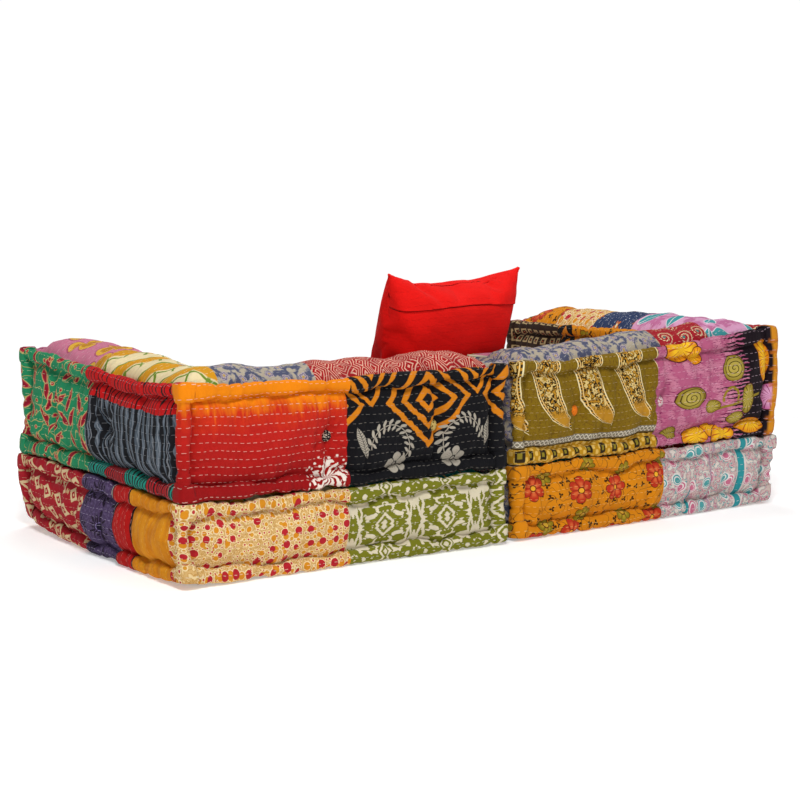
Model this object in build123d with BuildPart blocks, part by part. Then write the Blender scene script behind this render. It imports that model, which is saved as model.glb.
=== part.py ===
"""Two-seat floor sofa of patchwork mattress cushions, with one loose throw pillow.

Each seat is a corner unit: a square tufted base mattress with an L-shaped bolster, a back rest
and one arm, stacked on it. The units are mirror images and stand side by side, the right one a
little askew. The pillow stands on both seats at the join and leans on the back rests.

Every cushion has a cover of quilted cotton panels sewn to hand-rolled edges, a firm filling, and
tufts: buttons drawn together through the filling by twine. Lengths are in millimetres. +X runs
along the row, +Y out of the open front, +Z up, with the origin on the floor under the middle.
"""

import os
from math import asin, cos, degrees, radians, sin

from build123d import *

os.makedirs("parts", exist_ok=True)

# Units and how they stand
unit_width = 770
unit_depth = 760
unit_height = 380
base_height = 162
bolster_thickness = 200
bolster_crown = 25
near_gap = 26
far_gap = 7
right_set_forward = 3
stack_gap = 0.3

# Stuffed faces and hand-rolled edges
edge_roll_radius = 13
edge_tuck = 12
face_bulge = 3
roll_recess = 2
long_span_rise = 2
cloth_thickness = 3
lining_gap = 0.5

# Tufts
tuft_depth = 14
tuft_rim_radius = 45
underside_tuft_depth = 10
underside_rim_radius = 32
tuft_floor_radius = 12
tuft_pleats = 12
button_radius = 10
button_height = 6
twine_side = 2.2
twine_clearance = 0.3
base_tuft_shares = (0.335, 0.665)
bolster_tuft_shares = (0.44, 0.77)

# Throw pillow
pillow_side = 400
pillow_thickness = 128
pillow_seam_width = 9
pillow_edge_sag = 14
pillow_cloth = 1.5
pillow_ply_gap = 0.3
pillow_lining_gap = 0.4
lap_height = 267
lap_width = 60
pillow_yaw_degrees = 8
pillow_lean_degrees = 16
pillow_past_join = 5
pillow_foot_sink = 1.1
pillow_lean_gap = 0.8
pillow_station_shares = (0, 0.14, 0.5, 0.86, 1)
pillow_fullness_shares = (0, 0.5, 1, 0.5, 0)

# How far cutting shapes reach past the surfaces that they cut
seam_reach = 40
overrun = 30

# Seams between patches, as shares of each side in its running order round the cushion
patch_seam_shares = {
    "left_base": {"back": (0.49,), "arm": (0.44, 0.62, 0.93)},
    "right_base": {"back": (0.45,), "arm": (0.5,)},
    "left_bolster": {"back": (0.49,), "arm": (0.46,), "inner_arm": (0.5,)},
    "right_bolster": {"back": (0.47,), "arm": (0.46,), "inner_arm": (0.45,)},
}
# Seams across a bolster's top: one across the arm, then two across the back rest
arm_top_seam_share = {"left_bolster": 0.54, "right_bolster": 0.45}
back_top_seam_shares = {"left_bolster": (0.28, 0.37), "right_bolster": (0.28, 0.5)}

bolster_floor = base_height + stack_gap
right_skew_degrees = degrees(asin((near_gap - far_gap) / unit_depth))
stuffing_inset = cloth_thickness + lining_gap

base_outline = [(0, 0), (unit_width, 0), (unit_width, unit_depth), (0, unit_depth)]
bolster_outline = [
    (0, 0),
    (unit_width, 0),
    (unit_width, bolster_thickness),
    (bolster_thickness, bolster_thickness),
    (bolster_thickness, unit_depth),
    (0, unit_depth),
]


def cushion_section(plane, span, floor, rim, crown, inset):
    """The section across a stuffed cushion: flat below, bowed at its sides and crowned above."""
    left = edge_tuck + inset
    right = span - left
    bottom = floor + inset
    shoulder = rim - edge_tuck - inset
    middle = (bottom + shoulder) / 2
    with BuildSketch(plane) as section:
        with BuildLine():
            Line((left, bottom), (right, bottom))
            ThreePointArc((right, bottom), (span + face_bulge - inset, middle), (right, shoulder))
            ThreePointArc((right, shoulder), (span / 2, rim + crown - inset), (left, shoulder))
            ThreePointArc((left, shoulder), (inset - face_bulge, middle), (left, bottom))
        make_face()
    return section.sketch


def stuffed_body(blocks, floor, rim, crown, inset):
    """One or two crowned blocks that share a corner, without their edge rolls."""
    bodies = []
    for width, depth in blocks:
        width_crown = crown + (long_span_rise if width > depth else 0)
        depth_crown = crown + (long_span_rise if depth > width else 0)
        with BuildPart() as block:
            plane = Plane.XZ.offset(overrun)
            along = cushion_section(plane, width, floor, rim, width_crown, inset)
            extrude(along, amount=-depth - 2 * overrun)
            plane = Plane.YZ.offset(-overrun)
            across = cushion_section(plane, depth, floor, rim, depth_crown, inset)
            extrude(across, amount=width + 2 * overrun, mode=Mode.INTERSECT)
        bodies.append(block.part)
    with BuildPart() as body:
        for piece in bodies:
            add(piece)
    return body.part


def side_outward(outline, side):
    """The unit vector out of one side of an outline that runs anticlockwise."""
    start = Vector(*outline[side])
    end = Vector(*outline[(side + 1) % len(outline)])
    along = (end - start).normalized()
    return Vector(along.Y, -along.X)


def corner_outward(outline, corner):
    """The sum of the outward vectors of the two sides that meet at a corner."""
    return side_outward(outline, corner - 1) + side_outward(outline, corner)


def grown_outline(outline, distance):
    """The right-angled outline with each side moved out by a distance, or in by a negative one."""
    corners = range(len(outline))
    grown = [Vector(*outline[i]) + corner_outward(outline, i) * distance for i in corners]
    return [(corner.X, corner.Y) for corner in grown]


def rolled_edges(outline, low, high):
    """The tubes round the bottom and the top of a cushion, mitred at its corners."""
    centres = grown_outline(outline, -edge_roll_radius)
    start = (sum(x for x, _ in centres[:2]) / 2, centres[0][1])
    with BuildPart() as rolls:
        for height in (low, high):
            with BuildLine(Plane.XY.offset(height)):
                Polyline(start, *centres[1:], centres[0], start)
            with BuildSketch(Plane((*start, height), z_dir=(1, 0, 0))):
                Circle(edge_roll_radius)
            sweep(transition=Transition.RIGHT)
    return rolls.part


def tuft_wells(tufts, inset):
    """The pleated funnels that the buttons draw into both faces of a cushion."""
    with BuildPart() as wells:
        for tuft in tufts:
            for face, depth, rim_radius in tuft:
                slope = (rim_radius - tuft_floor_radius) / depth
                floor_radius = tuft_floor_radius + inset
                height = depth + inset + overrun
                with BuildSketch(face.offset(-depth - inset)):
                    RegularPolygon(floor_radius, tuft_pleats)
                with BuildSketch(face.offset(overrun)):
                    RegularPolygon(floor_radius + slope * height, tuft_pleats)
                loft(ruled=True)
    return wells.part


def twine_run(tuft, side):
    """The square run between the floors of a tuft's two wells, as the twine is drawn."""
    (face, depth, _), (far_face, far_depth, _) = tuft
    span = (far_face.origin - face.origin).length
    with BuildPart() as run:
        with BuildSketch(face.offset(-depth)):
            Rectangle(side, side)
        extrude(amount=depth + far_depth - span)
    return run.part


def tuft_button(face, depth):
    """A covered button, flat on the floor of its well, its cloth gathered in pleats."""
    with BuildPart() as button:
        with BuildSketch(face.offset(-depth)):
            RegularPolygon(button_radius, tuft_pleats)
        extrude(amount=button_height)
    return button.part


def tufted_body(cushion, inset):
    """The stuffed body with its wells, each surface moved in by an inset."""
    with BuildPart() as body:
        add(stuffed_body(cushion["blocks"], *cushion["heights"], inset))
        add(tuft_wells(cushion["tufts"], inset), mode=Mode.SUBTRACT)
    return body.part


def twine_holes(cushion):
    """The holes that the twine runs through."""
    with BuildPart() as holes:
        for tuft in cushion["tufts"]:
            add(twine_run(tuft, twine_side + 2 * twine_clearance))
    return holes.part


def whole_cover(cushion):
    """The sewn cover of one cushion with its rolled edges, before it is cut into panels."""
    floor, rim, _ = cushion["heights"]
    low = floor + roll_recess + edge_roll_radius
    high = rim - roll_recess - edge_roll_radius
    with BuildPart() as cover:
        add(tufted_body(cushion, 0))
        add(rolled_edges(cushion["outline"], low, high))
        add(tufted_body(cushion, cloth_thickness), mode=Mode.SUBTRACT)
        add(twine_holes(cushion), mode=Mode.SUBTRACT)
    return cover.part


def whole_filling(cushion):
    """The filling of one cushion, a little smaller than the space in its cover."""
    with BuildPart() as filling:
        add(tufted_body(cushion, stuffing_inset))
        add(twine_holes(cushion), mode=Mode.SUBTRACT)
    return filling.part


def flared_region(outline, height, upward):
    """What lies beyond the 45-degree seam planes along the rolls of one face, top or bottom."""
    with BuildPart() as region:
        with BuildSketch(Plane.XY.offset(height - upward * seam_reach)):
            Polygon(*grown_outline(outline, -seam_reach), align=None)
        with BuildSketch(Plane.XY.offset(height + upward * (overrun + bolster_crown))):
            Polygon(*grown_outline(outline, overrun + bolster_crown), align=None)
        loft(ruled=True)
    return region.part


def border_region(outline, side, start_share, end_share, floor, rim):
    """The upright prism round one patch of a side, mitred where the side meets a corner."""
    corners = [Vector(*outline[side]), Vector(*outline[(side + 1) % len(outline)])]
    outward = side_outward(outline, side)
    plan = []
    for share, at in ((start_share, side), (end_share, (side + 1) % len(outline))):
        point = corners[0] + (corners[1] - corners[0]) * share
        reach = corner_outward(outline, at) if share in (0, 1) else outward
        plan += [point + reach * overrun, point - reach * seam_reach]
    order = [plan[0], plan[2], plan[3], plan[1]]
    with BuildPart() as region:
        with BuildSketch(Plane.XY.offset(floor - overrun)):
            Polygon(*[(p.X, p.Y) for p in order], align=None)
        extrude(amount=rim - floor + 2 * overrun)
    return region.part


def placed(piece, unit):
    """A piece of a unit in its place in the row: the right unit is the left one's mirror image."""
    if unit == "left":
        return piece
    corner = Location((unit_width + near_gap, right_set_forward, 0), (0, 0, right_skew_degrees))
    return mirror(piece, about=Plane.YZ).moved(corner * Location((unit_width, 0, 0)))


def vertical_tuft(x, y):
    """A tuft through the base, drawn in deeper on the seat than on the underside."""
    seat = Plane((x, y, base_height))
    underside = Plane((x, y, 0), z_dir=(0, 0, -1))
    seat_well = (seat, tuft_depth, tuft_rim_radius)
    return (seat_well, (underside, underside_tuft_depth, underside_rim_radius))


def bolster_tuft(outside, inside, outward):
    """A tuft through a leg of the bolster, from its outer face to its inner one."""
    wells = [(outside, outward), (inside, [-step for step in outward])]
    return tuple((Plane(at, z_dir=out), tuft_depth, tuft_rim_radius) for at, out in wells)


bolster_middle = (bolster_floor + unit_height - edge_tuck) / 2
inner_face = bolster_thickness + face_bulge
bolster_tufts = []
for share in bolster_tuft_shares:
    across = unit_width * share
    along = unit_depth * share
    back_ends = [(across, edge, bolster_middle) for edge in (-face_bulge, inner_face)]
    arm_ends = [(edge, along, bolster_middle) for edge in (-face_bulge, inner_face)]
    bolster_tufts.append(bolster_tuft(*back_ends, (0, -1, 0)))
    bolster_tufts.append(bolster_tuft(*arm_ends, (-1, 0, 0)))

cushions = {
    "base": {
        "blocks": [(unit_width, unit_depth)],
        "outline": base_outline,
        "sides": ("back", "join", "front", "arm"),
        "heights": (0, base_height, 0),
        "tufts": [
            vertical_tuft(unit_width * across, unit_depth * along)
            for across in base_tuft_shares
            for along in base_tuft_shares
        ],
    },
    "bolster": {
        "blocks": [(unit_width, bolster_thickness), (bolster_thickness, unit_depth)],
        "outline": bolster_outline,
        "sides": ("back", "back_end", "inner_back", "inner_arm", "arm_end", "arm"),
        "heights": (bolster_floor, unit_height, bolster_crown),
        "tufts": bolster_tufts,
    },
}


def border_band(cover, cushion):
    """The sides of a cover, from the seam along its bottom roll to the one along its top roll."""
    floor, rim, _ = cushion["heights"]
    with BuildPart() as band:
        add(cover)
        add(flared_region(cushion["outline"], rim - roll_recess, 1), mode=Mode.SUBTRACT)
        add(flared_region(cushion["outline"], floor + roll_recess, -1), mode=Mode.SUBTRACT)
    return band.part


def border_panel(band, cushion, side, seam_shares):
    """One side of a cover between its corner seams, as patches that meet at upright seams."""
    floor, rim, _ = cushion["heights"]
    ends = (0, *seam_shares, 1)
    patches = []
    for start, end in zip(ends, ends[1:]):
        with BuildPart() as patch:
            add(band)
            region = border_region(cushion["outline"], side, start, end, floor, rim)
            add(region, mode=Mode.INTERSECT)
        patches.append(patch.part)
    return patches


def face_panel(cover, cushion, upward):
    """The top or bottom of a cover, out to the seams along its rolls."""
    floor, rim, _ = cushion["heights"]
    height = rim - roll_recess if upward else floor + roll_recess
    with BuildPart() as panel:
        add(cover)
        region = flared_region(cushion["outline"], height, 1 if upward else -1)
        add(region, mode=Mode.INTERSECT)
    return panel.part


def top_patches(panel, arm_share, back_shares):
    """A bolster's top cut across the arm and across the back rest."""
    arm_seam = unit_depth * arm_share
    back_seams = [-overrun, *(unit_width * share for share in back_shares), unit_width + overrun]
    areas = [((-overrun, arm_seam), (bolster_thickness + overrun, unit_depth + overrun))]
    areas += [((low, -overrun), (high, arm_seam)) for low, high in zip(back_seams, back_seams[1:])]
    patches = []
    for low, high in areas:
        with BuildPart() as patch:
            add(panel)
            with BuildSketch(Plane.XY):
                Polygon(low, (high[0], low[1]), high, (low[0], high[1]), align=None)
            extrude(amount=unit_height + bolster_crown + overrun, mode=Mode.INTERSECT)
        patches.append(patch.part)
    return patches


def mitred_slabs(filling):
    """A bolster's filling as two slabs, back and arm, that meet on the mitre of the corner."""
    mitre = Plane((0, 0, 0), z_dir=(1, -1, 0))
    slabs = []
    for keep in (Keep.TOP, Keep.BOTTOM):
        with BuildPart() as slab:
            add(filling)
            split(bisect_by=mitre, keep=keep)
        slabs.append(slab.part)
    return slabs


pieces = {}
for kind, cushion in cushions.items():
    cover = whole_cover(cushion)
    band = border_band(cover, cushion)
    filling = whole_filling(cushion)
    top = face_panel(cover, cushion, True)
    shared = {"underside": [face_panel(cover, cushion, False)]}
    if kind == "base":
        shared["top"] = [top]
        shared["filling"] = [filling]
    else:
        shared["back_filling"], shared["arm_filling"] = [[slab] for slab in mitred_slabs(filling)]
    shared["twine"] = [twine_run(tuft, twine_side) for tuft in cushion["tufts"]]
    shared["buttons"] = [
        tuft_button(face, depth) for tuft in cushion["tufts"] for face, depth, _ in tuft
    ]
    cut_panels = {}
    for unit in ("left", "right"):
        name = f"{unit}_{kind}"
        own = dict(shared)
        if kind == "bolster":
            own["top"] = top_patches(top, arm_top_seam_share[name], back_top_seam_shares[name])
        for side, side_name in enumerate(cushion["sides"]):
            seams = patch_seam_shares[name].get(side_name, ())
            if (side, seams) not in cut_panels:
                cut_panels[side, seams] = border_panel(band, cushion, side, seams)
            own[f"{side_name}_panel"] = cut_panels[side, seams]
        for piece_name, solids in own.items():
            pieces[f"{name}_{piece_name}"] = [placed(solid, unit) for solid in solids]


def pillow_body(inset):
    """The stuffed pillow in its own frame, foot at y 0, back face to +z, with drawn-in edges."""
    half = pillow_side / 2
    sections = []
    for place, fullness in zip(pillow_station_shares, pillow_fullness_shares):
        swell = pillow_seam_width + (pillow_thickness - pillow_seam_width) * fullness
        rise = swell / 2 - inset
        height = inset + (pillow_side - 2 * inset) * place
        with BuildSketch(Plane.XZ.offset(-height)) as lens:
            with BuildLine():
                ThreePointArc((inset - half, 0), (0, rise), (half - inset, 0))
                ThreePointArc((half - inset, 0), (0, -rise), (inset - half, 0))
            make_face()
        sections.append(lens.sketch)
    with BuildPart() as body:
        loft(sections)
        with BuildSketch(Plane.XY.offset(-pillow_thickness)):
            with BuildLine():
                low, high = inset, pillow_side - inset
                left, right = inset - half, half - inset
                ThreePointArc((left, low), (0, low + pillow_edge_sag), (right, low))
                ThreePointArc((right, low), (right - pillow_edge_sag, half), (right, high))
                ThreePointArc((right, high), (0, high - pillow_edge_sag), (left, high))
                ThreePointArc((left, high), (left + pillow_edge_sag, half), (left, low))
            make_face()
        extrude(amount=2 * pillow_thickness, mode=Mode.INTERSECT)
    return body.part


def pillow_layer(outer, inner, low, high, back):
    """The cloth between two stuffed bodies, on one face and between two heights."""
    with BuildPart() as layer:
        add(outer)
        add(inner, mode=Mode.SUBTRACT)
        near, far = (0, pillow_thickness) if back else (-pillow_thickness, 0)
        with BuildSketch(Plane.XY.offset(near)):
            Polygon(
                (-pillow_side, low),
                (pillow_side, low),
                (pillow_side, high),
                (-pillow_side, high),
                align=None,
            )
        extrude(amount=far - near, mode=Mode.INTERSECT)
    return layer.part


lean = radians(pillow_lean_degrees)
yaw = radians(pillow_yaw_degrees)
pillow_foot_height = base_height - pillow_foot_sink
lean_height = unit_height - roll_recess - edge_roll_radius - pillow_foot_height
pillow_setback = (sin(lean) * lean_height + pillow_thickness / 2) * cos(yaw) / cos(lean)
pillow_plane = Plane(
    (
        unit_width + pillow_past_join,
        bolster_thickness + pillow_setback + pillow_lean_gap,
        pillow_foot_height,
    ),
    x_dir=(cos(yaw), sin(yaw), 0),
    z_dir=(sin(yaw) * cos(lean), -cos(yaw) * cos(lean), -sin(lean)),
)
ply_pitch = pillow_cloth + pillow_ply_gap
lining_inset = ply_pitch + pillow_cloth
whole = pillow_body(0)
first_ply = pillow_body(pillow_cloth)
second_ply = pillow_body(ply_pitch)
lining = pillow_body(lining_inset)
lap_top = lap_height + lap_width
pillow_pieces = {
    "pillow_pad": pillow_body(lining_inset + pillow_lining_gap),
    "pillow_front": pillow_layer(whole, lining, 0, pillow_side, False),
    "pillow_back_upper": pillow_layer(whole, first_ply, lap_height, pillow_side, True),
    "pillow_back_lower": pillow_layer(second_ply, lining, 0, lap_top, True),
}
for name, solid in pillow_pieces.items():
    pieces[name] = [pillow_plane.from_local_coords(solid)]

row = Compound([solid for solids in pieces.values() for solid in solids])
box = row.bounding_box()
to_origin = Location((-(box.min.X + box.max.X) / 2, -(box.min.Y + box.max.Y) / 2, -box.min.Z))
for name, solids in pieces.items():
    node = Compound(label=name, children=[solid.moved(to_origin) for solid in solids])
    export_step(node, f"parts/{name}.step")
print("overall size", box.size, "shift", to_origin.position)
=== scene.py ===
"""Two-seat patchwork floor sofa and its red throw pillow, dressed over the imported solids.

Each unit is a tufted base mattress with an L-shaped bolster on it. Lengths are in metres, in the
solids' own frame: +X along the row, +Y out of the open front, +Z up, the floor at z 0.
"""

import ast
import math

import bmesh
import bpy
from mathutils import Matrix, Vector, noise
from mathutils.bvhtree import BVHTree


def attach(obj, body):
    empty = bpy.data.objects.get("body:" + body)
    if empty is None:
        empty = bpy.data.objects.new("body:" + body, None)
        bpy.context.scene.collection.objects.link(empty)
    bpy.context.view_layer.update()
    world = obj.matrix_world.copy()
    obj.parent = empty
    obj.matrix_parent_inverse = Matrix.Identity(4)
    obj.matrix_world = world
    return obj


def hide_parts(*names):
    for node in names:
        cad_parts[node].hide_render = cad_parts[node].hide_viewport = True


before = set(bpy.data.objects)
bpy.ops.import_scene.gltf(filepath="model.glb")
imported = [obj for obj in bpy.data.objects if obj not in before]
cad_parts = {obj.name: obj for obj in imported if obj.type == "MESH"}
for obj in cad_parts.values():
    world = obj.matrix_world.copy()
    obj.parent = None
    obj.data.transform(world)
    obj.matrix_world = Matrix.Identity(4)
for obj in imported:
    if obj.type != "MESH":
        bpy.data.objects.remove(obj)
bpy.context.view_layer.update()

# Mattress covers: quilted cotton sewn round a cotton filling. The panels meet in hand-rolled
# edges, thick as a thumb, with a stitched groove beside them, and buttons draw the faces in.

UNIT_WIDTH = 0.770
UNIT_DEPTH = 0.760
TOUCH = 1e-6
CUT_NEAR = 1e-5
SAME_WAY = 1e-4
ROLL_RADIUS = 0.0155
ROLL_STRIP = 0.030
ROLL_WRAP = 0.026
ROLL_START, ROLL_TURN = 225, 172
CORNER_SWELL = 0.0055
CORNER_SPAN = (0.012, 0.045)
KNOB_RADIUS = 0.0215
GRID = 0.0055
STRIP_CUTS = 6
SMOOTHING = 0.4
BED_LIFT, BED_LIFT_REACH = 0.004, 0.08
BED_WANDER, BED_WAVE = 0.0045, 0.07

# Noise along a roll: the length of its waves, and two numbers that set it apart.
LUMPS = (0.017, 5.7, 0)
LONG_LUMPS = (0.05, 3.1, 4)
PINCHES = (0.036, 9.1, 9)
SPREADS = (0.055, 2.7, 6)
GATHERS = (0.017, 4.3, 2)
LUMP_HEIGHT = 0.0026
PINCH_DEPTH, PINCH_SHARE = 0.0058, 0.14
SPREAD_SHARE = 0.34

# How deep the cloth is drawn in beside a roll or a seam, and how soon that fades.
ROLL_GROOVES = ((0.0110, 0.007), (0.0080, 0.024), (0.0055, 0.06))
GATHER_DEPTH, GATHER_START, GATHER_REACH = 0.0120, 0.006, 0.042
GROOVE_CLEAR = 0.008
INNER_GROOVE, INNER_GROOVE_REACH = 0.009, 0.02
INNER_SWELL_REACH = 0.05
SWELL_START, SWELL_REACH = 0.02, 0.06
CROWN_REACH = 0.035
QUIET_SPAN = (0.020, 0.055)

# The filling's lumps on a face: their height, their length, and which way they are set apart.
FACE_WAVES = ((0.0080, 0.10, 1), (0.0042, 0.045, -1), (0.0012, 0.016, 1))
SWAY, SWAY_WAVE = 0.0055, 0.13
CREASE_DEPTH, CREASE_WIDTH, CREASE_WAVE = 0.0060, 0.05, 0.075
CREASE_LEAN, CREASE_LEAN_WAVE, CREASE_LEAN_RISE = 0.010, 0.05, 0.09
SEAM_DEPTH, SEAM_WIDTH = 0.0055, 0.007
SEAT_SWELL = 0.017
BOLSTER_SWELL = 0.010
SIDE_SWELL = 0.016
JOIN_SIDE = 1
JOIN_SWELL = 0.002
JOIN_GIVE = 0.0028

# A button's pull: a deep dimple, a wide hollow, the pleats that run out, and the pinch over it.
TUFT_RANGE = 0.2
TUFT_DEPTH, TUFT_REACH, TUFT_POWER = 0.020, 0.026, 1.3
HOLLOW_ON_TOP, HOLLOW_ON_SIDE, HOLLOW_REACH = 0.015, 0.012, 0.08
PLEAT_COUNT, PLEAT_DEPTH, PLEAT_RADIUS, PLEAT_WIDTH = 9, 0.0044, 0.028, 0.022
PLEAT_WAVE = 0.03
TUFT_CREASE, TUFT_CREASE_WIDTH, TUFT_CREASE_HEIGHT = 0.0120, 0.012, 0.12


def roll_section(distance, radius):
    """Where the cloth lies on a rolled edge: its place along the face and its depth under it."""
    turn = math.radians(ROLL_START + ROLL_TURN * min(distance / ROLL_STRIP, 1))
    centre = ROLL_RADIUS
    return centre + radius * math.cos(turn), centre + radius * math.sin(turn)


def eased(value, low, high):
    """0 below a span, 1 above it, with a smooth step between."""
    share = min(max((value - low) / (high - low), 0), 1)
    return share * share * (3 - 2 * share)


def hump(value, width):
    """1 where a value is 0, falling off smoothly to both sides."""
    return math.exp(-((value / width) ** 2))


def bed(seed, point):
    """How far the joint of a base and its bolster wanders from its level, over the plan."""
    lift = BED_LIFT * math.exp(-point.x / BED_LIFT_REACH)
    spot = Vector((point.x / BED_WAVE, point.y / BED_WAVE, seed.x))
    return lift + BED_WANDER * noise.noise(spot)


class Cushion:
    """A stuffed cushion: its outline, heights and tufts, and how its cloth is drawn in."""

    def __init__(self, outline, floor, rim, crown, tufts, seed, settled, joins):
        self.outline = [Vector((x, y, 0)) for x, y in outline]
        self.floor, self.rim, self.crown = floor, rim, crown
        self.tufts = tufts
        self.settled = settled
        self.joins = joins
        self.seed = Vector((seed * 7.31, seed * 3.17, seed * 5.53))
        count = len(outline)
        self.sides = []
        for k in range(count):
            start, end = self.outline[k], self.outline[(k + 1) % count]
            along = (end - start).normalized()
            self.sides.append((start, along, Vector((along.y, -along.x, 0)), (end - start).length))
        self.convex = [
            self.sides[k - 1][1].cross(self.sides[k][1]).z > 0 for k in range(count)
        ]

    def wavering(self, waves, roll, place):
        """Soft noise along a rolled edge."""
        length, apart, level = waves
        return noise.noise(Vector((place / length, roll * apart, level)) + self.seed)

    def radius(self, roll, place, length):
        """A rolled edge's radius along it, lumpy where the whip stitches pinch it."""
        lump = LUMP_HEIGHT * self.wavering(LUMPS, roll, place)
        lump += LUMP_HEIGHT * self.wavering(LONG_LUMPS, roll, place)
        pinch = abs(self.wavering(PINCHES, roll, place))
        lump -= PINCH_DEPTH * max(0, PINCH_SHARE - pinch) / PINCH_SHARE
        window = eased(min(place, length - place), *CORNER_SPAN)
        return ROLL_RADIUS + window * lump + (1 - window) * CORNER_SWELL

    def spread(self, roll, place):
        """How much wider or narrower than its measure a rolled edge is, along it."""
        return 1 + SPREAD_SHARE * self.wavering(SPREADS, roll, place)

    def borders(self, point, face):
        """The edges round a face as distance, roll, place along it, its length and its way out.

        A seam without a roll has no way out.
        """
        count = len(self.sides)
        found = []
        if face in ("top", "bottom"):
            level = 0 if face == "top" else count
            for k, (start, along, outward, length) in enumerate(self.sides):
                offset = point - start
                place, inward = offset.dot(along), -offset.dot(outward)
                if -TOUCH <= place <= length + TOUCH and inward > -TOUCH:
                    found.append((max(inward, 0), k + level, place, length, outward))
                before = self.sides[k - 1]
                across = -offset.dot(before[2])
                if not self.convex[k] and place < -TOUCH and across > TOUCH:
                    reach = max(across, inward)
                    way = (before[2] * across + outward * inward) / reach
                    found.append((reach, k + level, 0, length, way))
        else:
            start, along, _, length = self.sides[face]
            place = (point - start).dot(along)
            height = self.rim - self.floor
            rise = point.z - self.floor
            last = (face + 1) % count
            ends = ((place, face, face - 1), (length - place, last, last))
            found.append((height - rise, face, place, length, Vector((0, 0, 1))))
            found.append((rise, face + count, place, length, Vector((0, 0, -1))))
            for distance, corner, beyond in ends:
                way = self.sides[beyond][2] if self.convex[corner] else None
                found.append((distance, 2 * count + corner, rise, height, way))
        return found

    def depth(self, point, face):
        """How far the cloth lies in from the plain block's face."""
        rounding, groove, quiet, swell = 0, 0, 1, 1
        borders = self.borders(point, face)
        for i, (distance, roll, place, length, way) in enumerate(borders):
            if way is None:
                groove = max(groove, INNER_GROOVE * math.exp(-distance / INNER_GROOVE_REACH))
                swell *= 1 - math.exp(-distance / INNER_SWELL_REACH)
                continue
            near = min([b[0] for j, b in enumerate(borders) if j != i and b[4]], default=1)
            radius = self.radius(roll, place, length)
            distance /= self.spread(roll, place)
            if distance < ROLL_STRIP:
                _, deep = roll_section(distance, radius)
                if distance < ROLL_STRIP / 3:
                    rounding = max(rounding, deep)
                else:
                    groove = max(groove, deep * eased(near, GROOVE_CLEAR, ROLL_STRIP))
            else:
                past = distance - ROLL_STRIP
                deep = sum(most * math.exp(-past / reach) for most, reach in ROLL_GROOVES)
                gather = GATHER_DEPTH * self.wavering(GATHERS, roll, place)
                gather *= (1 - math.exp(-past / GATHER_START)) * math.exp(-past / GATHER_REACH)
                groove = max(groove, (deep + gather) * eased(near, GROOVE_CLEAR, ROLL_STRIP))
            quiet = min(quiet, eased(distance, *QUIET_SPAN))
            swell *= 1 - math.exp(-max(distance - SWELL_START, 0) / SWELL_REACH)
        wave = sum(
            height * noise.noise(point / length + side * self.seed)
            for height, length, side in FACE_WAVES
        )
        groove += self.creases(point, face) * quiet
        return rounding + groove - quiet * wave - self.bulge(face) * swell

    def creases(self, point, face):
        """How far the upright pinches of a side panel draw in, where its filling has clumped."""
        if face in ("top", "bottom"):
            return 0
        start, along, _, _ = self.sides[face]
        place = (point - start).dot(along)
        spot = Vector((place / CREASE_LEAN_WAVE, point.z / CREASE_LEAN_RISE, face)) + self.seed
        lean = CREASE_LEAN * noise.noise(spot)
        spot = Vector(((place + lean) / CREASE_WAVE, face * 7.7, 3)) - self.seed
        pinch = CREASE_DEPTH * hump(noise.noise(spot), CREASE_WIDTH)
        for join in self.joins.get(face, ()):
            pinch += SEAM_DEPTH * hump(place - join, SEAM_WIDTH)
        for at, on in self.tufts:
            if on == face:
                offset = point - Vector(at)
                fall = hump(offset.z, TUFT_CREASE_HEIGHT)
                pinch += TUFT_CREASE * hump(offset.dot(along) + lean, TUFT_CREASE_WIDTH) * fall
        return pinch

    def bulge(self, face):
        """How far the middle of a face swells past the plain block."""
        if face == "top":
            return BOLSTER_SWELL if self.crown else SEAT_SWELL
        return {"bottom": 0.0, JOIN_SIDE: JOIN_SWELL}.get(face, SIDE_SWELL)

    def tuft_pull(self, point, face):
        """How far the buttons draw the cloth in, with pleats that run out from each."""
        pull = 0
        hollow = HOLLOW_ON_TOP if face == "top" else HOLLOW_ON_SIDE
        for at, on in self.tufts:
            if on != face:
                continue
            offset = point - Vector(at)
            distance = offset.length
            if distance > TUFT_RANGE:
                continue
            if face in ("top", "bottom"):
                turn = math.atan2(offset.y, offset.x)
            else:
                turn = math.atan2(offset.z, offset.dot(self.sides[face][1]))
            pull += TUFT_DEPTH * math.exp(-((distance / TUFT_REACH) ** TUFT_POWER))
            pull += hollow * math.exp(-distance / HOLLOW_REACH)
            turn = PLEAT_COUNT * turn + 2 * noise.noise(offset / PLEAT_WAVE + self.seed)
            pull += PLEAT_DEPTH * math.cos(turn) * hump(distance - PLEAT_RADIUS, PLEAT_WIDTH)
        return pull

    def faces_at(self, point):
        """The plain block's faces that a point lies on."""
        found = []
        if abs(point.z - self.rim) < TOUCH:
            found.append("top")
        if abs(point.z - self.floor) < TOUCH:
            found.append("bottom")
        for k, (start, along, outward, length) in enumerate(self.sides):
            offset = point - start
            place = offset.dot(along)
            if abs(offset.dot(outward)) < TOUCH and -TOUCH <= place <= length + TOUCH:
                found.append(k)
        return found

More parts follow.
